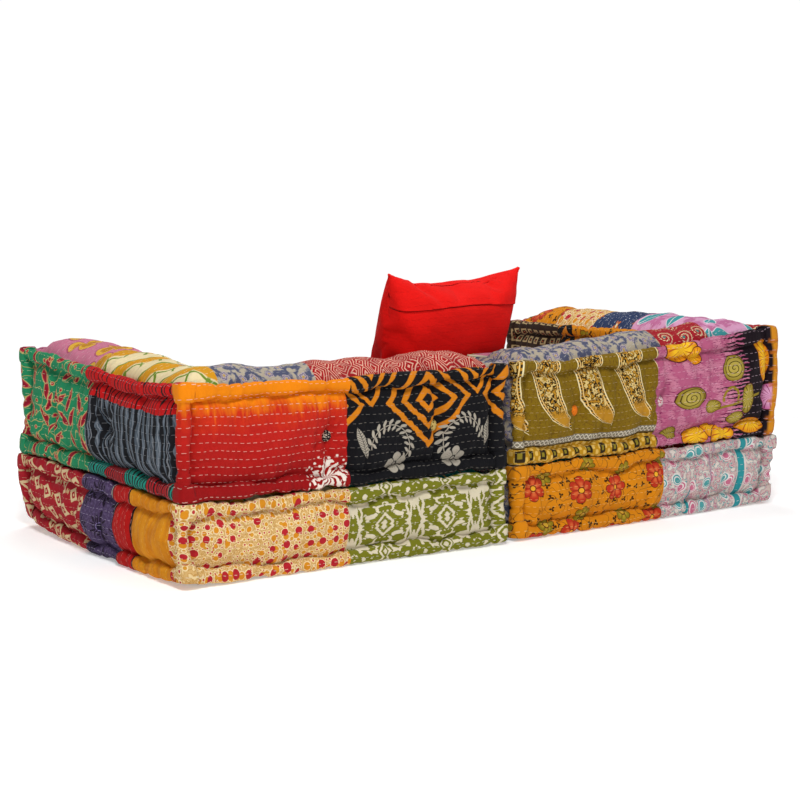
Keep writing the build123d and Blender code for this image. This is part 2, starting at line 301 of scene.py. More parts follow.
    def drawn(self, point):
        """Where a point of the plain block goes when the cushion is rolled, stuffed and tufted."""
        faces = self.faces_at(point)
        moved = point.copy()
        pulled = []
        for face in faces:
            way = self.outward(face)
            moved -= way * (self.depth(point, face) + self.tuft_pull(point, face))
            pulled.append(way)
            if face == "top":
                moved.z += self.crowned(point)
        for face in faces:
            for distance, roll, place, length, way in self.borders(point, face):
                spread = self.spread(roll, place)
                if way is None or distance < TOUCH or distance >= ROLL_STRIP * spread:
                    continue
                if any((way - other).length < SAME_WAY for other in pulled):
                    continue
                pulled.append(way)
                along, _ = roll_section(distance / spread, self.radius(roll, place, length))
                moved += way * (distance - along * spread)
        moved = self.knobbed(point, moved)
        lengthwise, sideways, upwards = (
            noise.noise(point / SWAY_WAVE + self.seed + Vector((31 * i, 0, 0))) for i in range(3)
        )
        share = (point.z - self.floor) / (self.rim - self.floor)
        moved += Vector((lengthwise, sideways, upwards * share)) * SWAY
        moved += self.settled(point, share)
        moved.x = min(moved.x, UNIT_WIDTH + JOIN_GIVE)
        bedded = bed(self.seed, point)
        if self.floor:
            moved.z = max(moved.z + bedded * (1 - share), self.floor + bedded)
        else:
            moved.z = max(moved.z + bedded * share, 0)
            if min(point.x, point.y) < BOLSTER_THICKNESS:
                moved.z = min(moved.z, self.rim + bedded)
        return moved

    def knobbed(self, point, moved):
        """Rounds a point near a corner of the block, where three rolls meet in a knob."""
        for k, corner in enumerate(self.outline):
            if not self.convex[k] or (point.xy - corner.xy).length > 2 * ROLL_STRIP:
                continue
            for level, upward in ((self.rim, 1), (self.floor, -1)):
                if abs(point.z - level) > ROLL_STRIP:
                    continue
                ways = (self.sides[k - 1][2], self.sides[k][2], Vector((0, 0, upward)))
                centre = corner - (ways[0] + ways[1]) * ROLL_RADIUS
                centre.z = level - upward * ROLL_RADIUS
                offset = moved - centre
                if all(offset.dot(way) > 0 for way in ways) and offset.length > KNOB_RADIUS:
                    return centre + offset * (KNOB_RADIUS / offset.length)
        return moved

    def outward(self, face):
        """The way a face of the plain block looks."""
        if face == "top":
            return Vector((0, 0, 1))
        if face == "bottom":
            return Vector((0, 0, -1))
        return self.sides[face][2]

    def crowned(self, point):
        """The height of the stuffed crown over the rim."""
        if not self.crown:
            return 0
        nearest = min(border[0] for border in self.borders(point, "top"))
        return self.crown * (1 - math.exp(-max(nearest - SWELL_START, 0) / CROWN_REACH))


def plain_block(outline, floor, rim, cuts_x, cuts_y, cuts_z):
    """The plain block of a cushion, cut into a fine grid that is finest on its rolled edges."""
    block = bmesh.new()
    corners = [block.verts.new((x, y, floor)) for x, y in outline]
    block.faces.new(corners)
    raised = bmesh.ops.extrude_face_region(block, geom=block.faces[:])
    lifted = [v for v in raised["geom"] if isinstance(v, bmesh.types.BMVert)]
    bmesh.ops.translate(block, verts=lifted, vec=(0, 0, rim - floor))
    if len(block.faces) < len(outline) + 2:
        block.faces.new(list(reversed(corners)))
    bmesh.ops.recalc_face_normals(block, faces=block.faces)
    for axis, cuts in enumerate((cuts_x, cuts_y, cuts_z)):
        way = Vector([float(i == axis) for i in range(3)])
        for at in cuts[1:-1]:
            everything = block.verts[:] + block.edges[:] + block.faces[:]
            bmesh.ops.bisect_plane(
                block, geom=everything, dist=TOUCH, plane_co=way * at, plane_no=way
            )
    for axis, cuts in enumerate((cuts_x, cuts_y, cuts_z)):
        for low, high in zip(cuts, cuts[1:]):
            span = high - low
            count = STRIP_CUTS if span < ROLL_STRIP + CUT_NEAR else max(1, round(span / GRID))
            edges = [
                edge
                for edge in block.edges
                if abs(abs(edge.verts[0].co[axis] - edge.verts[1].co[axis]) - span) < CUT_NEAR
                and abs(min(v.co[axis] for v in edge.verts) - low) < CUT_NEAR
            ]
            bmesh.ops.subdivide_edges(block, edges=edges, cuts=count - 1, use_grid_fill=True)
    return block


def owned_by(cushion, face, point, wraps):
    """Which panel covers a spot of the plain block: side panels wrap over the rolls beside them."""
    if face in ("top", "bottom"):
        nearest = min(cushion.borders(point, face), key=lambda border: border[0])
        if nearest[0] < ROLL_WRAP:
            return nearest[1] % len(cushion.sides)
        return face
    start, along, _, length = cushion.sides[face]
    place = (point - start).dot(along)
    count = len(cushion.sides)
    for distance, beyond in ((place, (face - 1) % count), (length - place, (face + 1) % count)):
        if beyond in wraps and distance < wraps[beyond] and face not in wraps:
            return beyond
    return face


def cloth_place(cushion, owner, face, point):
    """A spot's place on the flat cloth of the panel that covers it, in metres."""
    if owner in ("top", "bottom"):
        return point.x, point.y
    start, along, outward, _ = cushion.sides[owner]
    place = (point - start).dot(along)
    inward = -(point - start).dot(outward)
    if face == "top":
        return place, cushion.rim + inward
    if face == "bottom":
        return place, cushion.floor - inward
    if face == owner:
        return place, point.z
    before = (owner - 1) % len(cushion.sides)
    return (place - inward if face == before else place + inward), point.z


def smoothed(mesh, points, factor):
    """Eases some of a mesh's points towards their neighbours."""
    axes = {f"use_axis_{axis}": True for axis in "xyz"}
    bmesh.ops.smooth_vert(mesh, verts=points, factor=factor, **axes)


def placed(name, data):
    """An object of a mesh, a lamp or a camera, put in the scene."""
    made = bpy.data.objects.new(name, data)
    bpy.context.scene.collection.objects.link(made)
    return made


def sewn_cover(cushion, cuts, wraps, panels, placing):
    """The covers of one cushion: a mesh for each panel, with its place on the cloth as its UVs.

    panels gives each panel's name its side of the block, the rule of its patches and its prints.
    """
    outline = [(corner.x, corner.y) for corner in cushion.outline]
    block = plain_block(outline, cushion.floor, cushion.rim, *cuts)
    cloth = block.loops.layers.uv.new("cloth")
    owners = block.faces.layers.int.new("panel")
    names = list(panels)
    for spot in block.faces:
        middle = spot.calc_center_median()
        face = cushion.faces_at(middle)[0]
        owner = owned_by(cushion, face, middle, wraps)
        owner_name = next(n for n in names if panels[n][0] == owner)
        spot[owners] = names.index(owner_name)
        for corner in spot.loops:
            corner[cloth].uv = cloth_place(cushion, owner, face, corner.vert.co)
        u, v = cloth_place(cushion, owner, face, middle)
        spot.material_index = panels[owner_name][1](u, v)
        spot.smooth = True
    for corner in block.verts:
        corner.co = placing @ cushion.drawn(corner.co)
    smoothed(block, block.verts, SMOOTHING)
    if placing.determinant() < 0:
        bmesh.ops.reverse_faces(block, faces=block.faces)
    made = {}
    for index, name in enumerate(names):
        part = block.copy()
        layer = part.faces.layers.int["panel"]
        others = [spot for spot in part.faces if spot[layer] != index]
        bmesh.ops.delete(part, geom=others, context="FACES")
        mesh = bpy.data.meshes.new(name)
        part.to_mesh(mesh)
        part.free()
        for material in panels[name][2]:
            mesh.materials.append(material)
        made[name] = placed(name, mesh)
    shell = BVHTree.FromBMesh(block)
    block.free()
    return made, shell


BASE_HEIGHT = 0.162
STACK_GAP = 0.0003
UNIT_HEIGHT = 0.380
BOLSTER_THICKNESS = 0.200
BOLSTER_CROWN = 0.027
BASE_TUFT_SHARES = (0.335, 0.665)
BOLSTER_TUFT_SHARES = (0.44, 0.77)
BOLSTER_MIDDLE = 0.265
ROW_SHIFT = Vector((-0.782917, -0.391043, 0))
RIGHT_CORNER = Vector((0.796, 0.003, 0))
RIGHT_SKEW = 0.025

base_outline = [(0, 0), (UNIT_WIDTH, 0), (UNIT_WIDTH, UNIT_DEPTH), (0, UNIT_DEPTH)]
bolster_outline = [
    (0, 0),
    (UNIT_WIDTH, 0),
    (UNIT_WIDTH, BOLSTER_THICKNESS),
    (BOLSTER_THICKNESS, BOLSTER_THICKNESS),
    (BOLSTER_THICKNESS, UNIT_DEPTH),
    (0, UNIT_DEPTH),
]
base_tufts = [
    ((UNIT_WIDTH * across, UNIT_DEPTH * along, height), face)
    for across in BASE_TUFT_SHARES
    for along in BASE_TUFT_SHARES
    for height, face in ((BASE_HEIGHT, "top"), (0, "bottom"))
]
bolster_tufts = []
for share in BOLSTER_TUFT_SHARES:
    across, along = UNIT_WIDTH * share, UNIT_DEPTH * share
    bolster_tufts += [
        ((across, 0, BOLSTER_MIDDLE), 0),
        ((across, BOLSTER_THICKNESS, BOLSTER_MIDDLE), 2),
        ((BOLSTER_THICKNESS, along, BOLSTER_MIDDLE), 3),
        ((0, along, BOLSTER_MIDDLE), 5),
    ]

left_place = Matrix.Translation(ROW_SHIFT)
right_place = (
    Matrix.Translation(ROW_SHIFT + RIGHT_CORNER)
    @ Matrix.Rotation(RIGHT_SKEW, 4, "Z")
    @ Matrix.Translation(Vector((UNIT_WIDTH, 0, 0)))
    @ Matrix.Scale(-1, 4, Vector((1, 0, 0)))
)


# The quilted cotton's finish, with lengths in millimetres. Its weave is drawn at 1.2 mm a thread,
# because a finer one wouldn't show: THREAD_TURN is the turn of its wave in a millimetre.
STITCH_ROW, STITCH_PITCH, ROW_STAGGER = 15.5, 12.5, 6.3
STITCH_LENGTH, STITCH_THICKNESS = 0.26, 0.030
DRIFT_SIZE, ROW_DRIFT = 130, 12
SWAY_SIZE, ROW_SWAY, STITCH_SWAY = 9, 1.4, 2.5
FADE_SIZE, SLUB_SIZE, PUCKER_SIZE, LUMP_SIZE = 60, 2.4, 6.5, 22
SHADE, FADE_SHARE, SLUB_SHARE = 0.70, 0.24, 0.12
ROW_SWELL, PUCKER_SWELL, STITCH_SINK = 0.28, 0.75, 0.55
WEAVE_SWELL, LUMP_SWELL = 0.03, 0.3
THREAD_TURN = 5.2
FULL_TURN = 6.2832
COTTON_RELIEF = {"Strength": 0.62, "Distance": 0.0026}
COTTON_FINISH = {"Roughness": 0.86, "Sheen Weight": 0.015, "Sheen Roughness": 0.45}
FORMULA_STEPS = {
    "Add": "ADD",
    "Sub": "SUBTRACT",
    "Mult": "MULTIPLY",
    "Div": "DIVIDE",
    "Pow": "POWER",
    "sin": "SINE",
    "cos": "COSINE",
    "abs": "ABSOLUTE",
    "max": "MAXIMUM",
    "sqrt": "SQRT",
    "turn": "ARCTAN2",
    "fold": "PINGPONG",
    "part": "FRACT",
    "whole": "FLOOR",
}


def linear(code):
    """A colour written as sRGB hex, as linear light."""
    shares = [int(code[i : i + 2], 16) / 255 for i in (1, 3, 5)]
    return (*[c / 12.92 if c <= 0.04045 else ((c + 0.055) / 1.055) ** 2.4 for c in shares], 1)


def add(tree, kind, sockets, **settings):
    """Adds a node with its settings, and links or sets its sockets."""
    made = tree.nodes.new(kind)
    for setting, value in settings.items():
        setattr(made, setting, value)
    for socket, value in sockets.items():
        if isinstance(value, bpy.types.NodeSocket):
            tree.links.new(value, made.inputs[socket])
        else:
            made.inputs[socket].default_value = value
    return made.outputs


class Print:
    """A printed cotton: inks laid one over another on the cloth.

    Formulas are in millimetres on the cloth, u along it and v across, and read any number that
    the print has measured before, by its name. edge(a, b) is 0 below a = -b / 2 and 1 above b / 2.
    """

    def __init__(self, name, ground):
        self.material = bpy.data.materials.new(name)
        self.material.use_nodes = True
        self.tree = self.material.node_tree
        self.tree.nodes.clear()
        uv = add(self.tree, "ShaderNodeUVMap", {}, uv_map="cloth")[0]
        flat = add(self.tree, "ShaderNodeVectorMath", {0: uv, "Scale": 1000}, operation="SCALE")[0]
        apart = add(self.tree, "ShaderNodeSeparateXYZ", {0: flat})
        self.known = {"u": apart[0], "v": apart[1]}
        self.colour = linear(ground)

    def work(self, formula):
        """A number worked out on the cloth from a written formula."""

        def step(part):
            if isinstance(part, ast.Constant):
                return float(part.value)
            if isinstance(part, ast.Name):
                return self.known[part.id]
            if isinstance(part, ast.UnaryOp):
                pieces = [step(part.operand), -1.0]
                kind = "Mult"
            elif isinstance(part, ast.BinOp):
                pieces = [step(part.left), step(part.right)]
                kind = type(part.op).__name__
            else:
                pieces = [step(piece) for piece in part.args]
                kind = part.func.id
            if kind == "edge":
                value, width = pieces
                sockets = {0: value, 1: 1.0 / width, 2: 0.5}
                settings = {"operation": "MULTIPLY_ADD", "use_clamp": True}
                return add(self.tree, "ShaderNodeMath", sockets, **settings)[0]
            sockets = dict(enumerate(pieces))
            return add(self.tree, "ShaderNodeMath", sockets, operation=FORMULA_STEPS[kind])[0]

        return step(ast.parse(formula).body[0].value)

    def measure(self, **formulas):
        """Works out numbers and keeps them under their names."""
        for name, formula in formulas.items():
            self.known[name] = self.work(formula)

    def polar(self):
        """Measures r and t, the distance and the turn of the place x, y."""
        self.measure(r="sqrt(x * x + y * y)", t="turn(y, x)")

    def paint(self, ink, *formulas):
        """Lays an ink wherever one of the formulas is 1."""
        for formula in formulas:
            sockets = {0: self.work(formula), 6: self.colour, 7: linear(ink)}
            self.colour = add(self.tree, "ShaderNodeMix", sockets, data_type="RGBA")[2]

    def shrunk(self, size, u, v):
        """A place on the cloth, in steps of a size."""
        sockets = {0: self.work(f"({u}) / {size}"), 1: self.work(f"({v}) / {size}")}
        return add(self.tree, "ShaderNodeCombineXYZ", sockets)[0]

    def cloud(self, name, size, u="u", v="v", detail=2.0):
        """Measures soft noise from 0 to 1, with blots of about a size."""
        sockets = {"Vector": self.shrunk(size, u, v), "Scale": 1.0, "Detail": detail}
        made = add(self.tree, "ShaderNodeTexNoise", sockets, noise_dimensions="2D")
        self.known[name] = made[0]

    def scatter(self, size, jitter, u="u", v="v", turned=0.0):
        """Measures x, y, r and t from the nearest of places strewn about, and its chances a, b."""
        where = self.shrunk(size, u, v)
        sockets = {"Vector": where, "Scale": 1.0, "Randomness": jitter}
        found = add(self.tree, "ShaderNodeTexVoronoi", sockets, voronoi_dimensions="2D")
        sockets = {0: where, 1: found[2]}
        away = add(self.tree, "ShaderNodeVectorMath", sockets, operation="SUBTRACT")[0]
        chances = add(self.tree, "ShaderNodeSeparateXYZ", {0: found[1]})
        self.known.update(a=chances[0], b=chances[1])
        sockets = {"Vector": away, "Angle": self.work(f"(a - 0.5) * {turned}")}
        away = add(self.tree, "ShaderNodeVectorRotate", sockets, rotation_type="Z_AXIS")[0]
        apart = add(self.tree, "ShaderNodeSeparateXYZ", {0: away})
        self.known.update(x=apart[0], y=apart[1])
        self.measure(x=f"x * {size}", y=f"y * {size}")
        self.polar()

    def quilted(self, thread="#F6E8DA", show=0.78, upright=False, gloss=0.13, puff=1.0):
        """Finishes the cloth: kantha running stitches, a plain weave, soft wear and sheen."""
        along, across = ("v", "u") if upright else ("u", "v")
        self.cloud("drift", DRIFT_SIZE)
        self.cloud("sway", SWAY_SIZE)
        shift = f"{ROW_DRIFT} * (drift - 0.5) + {ROW_SWAY} * (sway - 0.5)"
        self.measure(lane=f"({across} + {shift}) / {STITCH_ROW}", off="abs(part(lane) - 0.5)")
        shift = f"{ROW_STAGGER} * whole(lane) + {STITCH_SWAY} * sway"
        run = f"part(({along} + {shift}) / {STITCH_PITCH})"
        stitch = f"edge({STITCH_LENGTH} - abs({run} - 0.5), 0.05)"
        self.measure(dash=f"edge({STITCH_THICKNESS} - off, 0.02) * {stitch}")
        self.paint(thread, f"dash * {show}")
        self.cloud("fade", FADE_SIZE, detail=4.0)
        self.cloud("slub", SLUB_SIZE, v="v * 6")
        self.measure(shade=f"{SHADE} + {FADE_SHARE} * fade + {SLUB_SHARE} * slub")
        shade = self.known["shade"]
        grey = add(self.tree, "ShaderNodeCombineXYZ", {0: shade, 1: shade, 2: shade})[0]
        sockets = {0: 1.0, 6: self.colour, 7: grey}
        worn = add(self.tree, "ShaderNodeMix", sockets, data_type="RGBA", blend_type="MULTIPLY")[2]
        self.measure(weave=f"sin(u * {THREAD_TURN}) * sin(v * {THREAD_TURN})")
        ridge = {along: f"{along} + 3 * lane", across: f"{across} / 3"}
        self.cloud("pucker", PUCKER_SIZE, detail=1.5, **ridge)
        self.cloud("lump", LUMP_SIZE, detail=3.0)
        rows = f"(0.5 - cos({FULL_TURN} * lane)) * {ROW_SWELL}"
        relief = f"{puff} * ({rows} + {PUCKER_SWELL} * pucker)"
        relief += f" - {STITCH_SINK} * dash + {WEAVE_SWELL} * weave + {LUMP_SWELL} * lump"
        sockets = {"Height": self.work(relief), **COTTON_RELIEF}
        bump = add(self.tree, "ShaderNodeBump", sockets)[0]
        sockets = {"Base Color": worn, "Specular IOR Level": gloss, "Normal": bump}
        sockets.update(COTTON_FINISH)
        shader = add(self.tree, "ShaderNodeBsdfPrincipled", sockets)[0]
        add(self.tree, "ShaderNodeOutputMaterial", {"Surface": shader})
        return self.material


def tie_dye():
    """Red cotton dipped in orange along one edge, with a white wax splash low in its corner."""
    wax = "#F1E6DA"
    cloth = Print("red_orange_tie_dye_cotton", "#A20F10")
    cloth.cloud("streak", 9, v="v / 7", detail=3.0)
    cloth.cloud("patch", 45)
    cloth.paint("#BE2218", "edge(v - 235 + 60 * (patch - 0.5), 90) * 0.7")
    cloth.paint("#7E0C10", "edge(205 - v + 70 * (patch - 0.5), 60) * 0.45")
    cloth.paint("#CE3412", "edge(v - 312 - 50 * (streak - 0.5) - 40 * (patch - 0.5), 50)")
    cloth.paint("#EA8406", "edge(v - 334 - 46 * (streak - 0.5) - 30 * (patch - 0.5), 30)")
    cloth.paint("#6F8A22", "edge(v - 394 + 8 * (streak - 0.5), 5) * edge(260 - u, 30)")
    cloth.measure(x="u - 336", y="v - 182")
    cloth.measure(away="sqrt(x * x + y * y)", around="turn(y, x)")
    cloth.cloud("rough", 16)
    rays = "edge(sin(around * 11 + away * 0.2 + 9 * rough) + 0.2, 0.3)"
    cloth.paint(wax, f"edge(26 + 44 * (rough - 0.3) - away, 2) * {rays}")
    cloth.scatter(13, 0.7)
    cloth.paint(wax, "edge(2.4 - r, 1) * edge(52 - away, 4) * edge(away - 26, 4)")
    return cloth.quilted(thread="#F4D2C4", show=0.66)


def black_wreaths():
    """Black cotton with orange diamonds along the top and pale leaf wreaths below."""
    ground, vein = "#0E0E12", "#3A3834"
    cloth = Print("black_wreath_cotton", ground)
    cloth.cloud("wobble", 14)
    for centre, height, wide, tall in (
        (432, 398, 80, 82),
        (694, 404, 70, 84),
        (571, 322, 108, 100),
        (812, 322, 108, 100),
        (320, 322, 100, 96),
    ):
        cloth.measure(x=f"abs(u - {centre} + 7 * (wobble - 0.5))")
        cloth.measure(y=f"abs(v - {height} + 5 * (wobble - 0.5))")
        cloth.measure(far=f"x / {wide} + y / {tall}")
        cloth.paint(ground, "edge(1.08 - far, 0.02)")
        rings = "edge(0.2 - abs(part(far * 2.8 - 0.06) - 0.5), 0.05)"
        cloth.paint("#D07C14", f"edge(1.0 - far, 0.02) * edge(far - 0.1, 0.03) * {rings}")
    for centre, height, side in ((474, 232, 1), (656, 232, -1)):
        cloth.measure(x=f"(u - {centre}) * {side}", y=f"v - {height}")
        cloth.polar()
        open_arc = "edge(1.9 - abs(t - 1.25), 0.1)"
        for reach, shift in ((40, 0.0), (53, 0.5)):
            leaf = (
                f"{open_arc} * edge(0.27 * (1 - ((r - {reach}) / 6.2) ** 2)"
                f" - abs(part(t * 3.2 + {shift} + (r - {reach}) * 0.05) - 0.5), 0.06)"
            )
            cloth.paint("#A9A192", f"{leaf} * edge(6.2 - abs(r - {reach}), 1)")
        cloth.paint("#A69D8E", f"{open_arc} * edge(0.9 - abs(r - 46.5), 0.8)")
        cloth.measure(x=f"(u - {centre}) * {side} - 20", y=f"v - {height} + 36")
        cloth.polar()
        petals = "17 + 9 * abs(sin(t * 2.5 + 0.4)) ** 0.7"
        cloth.paint("#A8A092", f"edge({petals} - r, 1.2)")
        gaps = "edge(0.22 - abs(sin(t * 2.5 + 0.4)), 0.15)"
        cloth.paint(vein, f"edge({petals} - r, 1.5) * {gaps} * edge(24 - r, 2)")
        spokes = "edge(0.14 - abs(sin(t * 12)), 0.1)"
        cloth.paint("#5A564F", f"{spokes} * edge(18 - r, 2) * edge(r - 7, 1)")
        cloth.paint("#2E2C2A", "edge(1.4 - abs(r - 5.5), 1)")
        cloth.measure(x=f"(u - {centre}) * {side} + 60 + (v - {height}) * 0.35")
        cloth.measure(y=f"(v - {height} - 16) / 32")
        leaf = "edge(10 * (1 - y * y) - abs(x), 1) * edge(1 - abs(y), 0.05)"
        barbs = "edge(0.12 - abs(part(y * 6 - abs(x) * 0.12) - 0.5), 0.08)"
        cloth.paint("#A9A192", leaf)
        cloth.paint(vein, f"{leaf} * edge(0.8 - abs(x), 0.8)", f"{leaf} * {barbs}")
    return cloth.quilted(thread="#A8A298", show=0.4)


def dotted_cream():
    """Cream cotton strewn with red and ochre dots in pale rings, and vermicelli between them."""
    cloth = Print("dotted_cream_cotton", "#D6AE6E")
    cloth.cloud("vein", 5, detail=1.0)
    cloth.paint("#B98432", "edge(0.04 - abs(vein - 0.5), 0.03) * 0.7")
    cloth.paint("#EBD29C", "edge(vein - 0.62, 0.04)")
    layers = []
    for size, jitter, low, high, ink, least in (
        (10, 0.5, 1.4, 2.2, "#BC3236", 0.35),
        (17, 0.45, 2.4, 4.2, "#D2942C", 0.15),
        (25, 0.34, 4.6, 7.2, "#D68C1E", 0.2),
        (28, 0.34, 5.4, 8.2, "#B4222C", 0.2),
    ):
        cloth.scatter(size, jitter, u=f"u + {size * 7}")
        radius = f"({low} + {high - low} * b)"
        chosen = f"edge(a - {least}, 0.02)"
        cloth.paint("#EFDCAC", f"{chosen} * edge({radius} + 1.4 - r, 0.6)")
        layers.append((ink, f"{chosen} * edge({radius} - r, 0.6)", dict(cloth.known)))
    for ink, formula, known in layers:
        cloth.known = known
        cloth.paint(ink, formula)
    return cloth.quilted(thread="#F6EFD8", show=0.5)


def green_ikat():
    """Green and white ikat, mirrored on its fold lines, with feathered edges."""
    green, white = "#75761C", "#DACFB4"
    cloth = Print("green_ikat_cotton", green)
    cloth.measure(x="fold(u - 462, 76)", y="fold(v - 78, 74)")
    cloth.cloud("jag", 3.2, u="u / 5")
    cloth.cloud("block", 33, u="x + 11 * (jag - 0.5)", v="y * 1.25", detail=1.0)
    cloth.cloud("small", 13, u="x + 8 * (jag - 0.5)", v="y * 1.5 + 300", detail=0.6)
    cloth.paint(white, "edge(block - 0.57, 0.02)", "edge(small - 0.64, 0.02)")
    for wide, at, tall in ((24, 4, 21), (15, 66, 14)):
        cloth.measure(medal=f"abs(x - 1) / {wide} + abs(y - {at}) / {tall} + 0.3 * (jag - 0.5)")
        cloth.paint(green, "edge(1.25 - medal, 0.05)")
        cloth.paint(white, "edge(1 - medal, 0.05)")
        cloth.paint(green, "edge(0.66 - medal, 0.05) * edge(medal - 0.3, 0.05)")
    cloth.measure(spear="abs(x - 62 + 5 * (jag - 0.5)) / 9 + abs(y - 30) / 34")
    cloth.paint(white, "edge(1 - spear, 0.05)")
    cloth.paint(green, "edge(0.4 - spear, 0.05)")
    return cloth.quilted(thread="#E9E6D6", show=0.5)


def olive_paisley():
    """Olive cotton with dashed paisleys over a lace border and a checked hem."""
    cloth = Print("olive_paisley_cotton", "#80640E")
    cloth.cloud("weed", 7, detail=1.0)
    cloth.paint("#6C5210", "edge(0.04 - abs(weed - 0.5), 0.03)")
    cloth.measure(along="(362 - v) / 130")
    cloth.measure(x="58 - part((u - 383) / 116) * 116 - 56 * along * along * along + 6")
    tip = "sqrt(max(1 - (max(along - 0.78, 0) / 0.22) ** 2, 0))"
    cloth.measure(wide=f"(33 - 12 * along + 9 * along * along) * {tip}")
    cloth.measure(inside="wide - abs(x)")
    cloth.paint("#6E560E", "edge(inside + 3, 1)")
    cloth.paint("#B88422", "edge(inside, 1)")
    dashes = "edge(0.28 - abs(part(v / 7) - 0.5), 0.1)"
    cloth.paint("#15110A", f"edge(1.7 - abs(inside - 3), 0.8) * {dashes}")
    cloth.paint("#ECDCA8", "edge(1.3 - abs(inside - 0.2), 0.6)")
    cloth.paint("#E6D298", "edge(0.7 - abs(inside - 6.4), 0.5)")
    veins = "edge(0.07 - abs(weed - 0.5), 0.03) * edge(0.75 - along, 0.1)"
    cloth.paint("#1C170C", f"edge(inside - 8, 1) * {veins}")
    blots = "edge(weed - 0.6, 0.03) * edge(0.7 - along, 0.1)"
    cloth.paint("#D8BE78", f"edge(inside - 8, 1) * {blots}")
    for height, radius in ((338, 11), (306, 7)):
        away = f"sqrt(x * x + (v - {height}) * (v - {height}))"
        cloth.measure(far=f"{radius} * (0.8 + 0.2 * cos(turn(v - {height}, x) * 6)) - {away}")
        cloth.paint("#D9C184", "edge(far, 1)")
        cloth.paint("#A8801E", "edge(far - 3.5, 1)")
    cloth.paint("#7A7364", "edge(7 - abs(v - 206), 1)")
    cloth.measure(loop="abs(sin(u / 2.9)) * 4.5")
    cloth.paint("#D8D0BC", "edge(1.1 - abs(abs(v - 206) - loop), 0.8)")
    cloth.paint("#B5851A", "edge(196 - v, 1)")
    cloth.measure(scale="sin(u / 2.6) * sin(v / 2.6)")
    cloth.paint("#D9B45A", "edge(196 - v, 1) * edge(scale - 0.2, 0.2)")
    cloth.measure(check="max(abs(part(u / 34) - 0.5) * 34, abs(part((v - 8) / 30) - 0.5) * 30)")
    cloth.paint("#2E2210", "edge(196 - v, 1) * edge(8 - check, 0.8)")
    cloth.paint("#8A7A20", "edge(196 - v, 1) * edge(3.5 - check, 0.8)")
    cloth.paint("#2A2010", "edge(1.2 - abs(v - 197), 0.8)")
    return cloth.quilted(thread="#D8C690", show=0.42)


def pink_petals():
    """Pink cotton with a black fringe, olive scrolls and orange petals."""
    fringe, olive = "#170C14", "#8F7A22"
    inks = {
        "coil": ("#93802A", "#4A3C10", "#B5A248"),
        "leaf": (olive, "#5A4A14", "#B5A248"),
        "petal": ("#DC8A10", "#B5541A", "#EFBC22"),
        "rosy": ("#C46A9C", "#8A2A5A", "#DDA0C4"),
    }
    cloth = Print("pink_petal_cotton", "#B25A7C")
    cloth.cloud("soft", 34)
    cloth.paint("#CC849C", "edge(soft - 0.52, 0.12) * 0.8")
    cloth.cloud("ripple", 11)
    cloth.cloud("hair", 3, u="u / 6", detail=1.0)
    cloth.paint("#8A2A5A", "edge(0.03 - abs(hair - 0.5), 0.02) * edge(soft - 0.45, 0.1)")
    cloth.cloud("reach", 9, u="0", v="whole((v + 4 * ripple) / 8) * 8")
    cloth.measure(strand="abs(part((v + 4 * ripple) / 8) - 0.5)")
    cloth.measure(far="(u - 96 - 10 * (ripple - 0.5)) / (44 + 180 * (reach - 0.3))")
    cloth.paint(fringe, "edge(0.4 * (1 - far) - strand, 0.05) * edge(u - 60, 4)")
    cloth.paint(fringe, "edge(100 + 12 * (ripple - 0.5) - u, 3)")
    cloth.measure(stem="abs(sqrt((u - 150) ** 2 + (v - 252) ** 2) - 20)")
    cloth.paint(olive, "edge(3 - stem, 1) * edge(v - 244, 3)")
    stalk = "edge(2.6 - abs(v - 236 + 0.16 * (u - 150)), 1)"
    cloth.paint(olive, f"{stalk} * edge(210 - u, 3) * edge(u - 60, 3)")
    for x, y, wide, tall, kind in (
        (143, 312, 30, 26, "coil"),
        (270, 262, 42, 22, "coil"),
        (200, 238, 24, 13, "leaf"),
        (98, 244, 17, 30, "leaf"),
        (130, 208, 26, 12, "leaf"),
        (291, 374, 42, 34, "petal"),
        (250, 352, 20, 22, "petal"),
        (44, 318, 24, 44, "petal"),
        (14, 240, 34, 26, "rosy"),
        (250, 172, 36, 22, "petal"),
        (206, 186, 20, 16, "petal"),
        (166, 170, 36, 18, "petal"),
        (74, 184, 44, 17, "petal"),
        (320, 190, 20, 16, "leaf"),
    ):
        cloth.measure(far=f"sqrt(((u - {x}) / {wide}) ** 2 + ((v - {y}) / {tall}) ** 2)")
        cloth.measure(t=f"turn(v - {y}, u - {x})")
        ink, rib, glow = inks[kind]
        cloth.paint("#4A1A10", "edge(1.07 - far, 0.03)")
        cloth.paint(ink, "edge(1 - far, 0.03)")
        cloth.paint(glow, "edge(0.75 - far, 0.4)")
        if kind == "coil":
            ribs = f"edge(0.12 - abs(part(far * 3.2 - t / {FULL_TURN}) - 0.5), 0.08)"
        else:
            ribs = "edge(0.1 - abs(part(t * 2.4 + far * 0.6) - 0.5), 0.08)"
        cloth.paint(rib, f"edge(0.95 - far, 0.03) * {ribs}")
    cloth.measure(hem="v + 8 * ripple")
    cloth.paint("#CF861A", "edge(26 - abs(u + 14), 4)")
    cloth.paint("#B8641C", "edge(30 - abs(u + 12), 4) * edge(0.2 - part(hem / 33), 0.15) * 0.7")
    return cloth.quilted(thread="#E8C8D8", show=0.45)


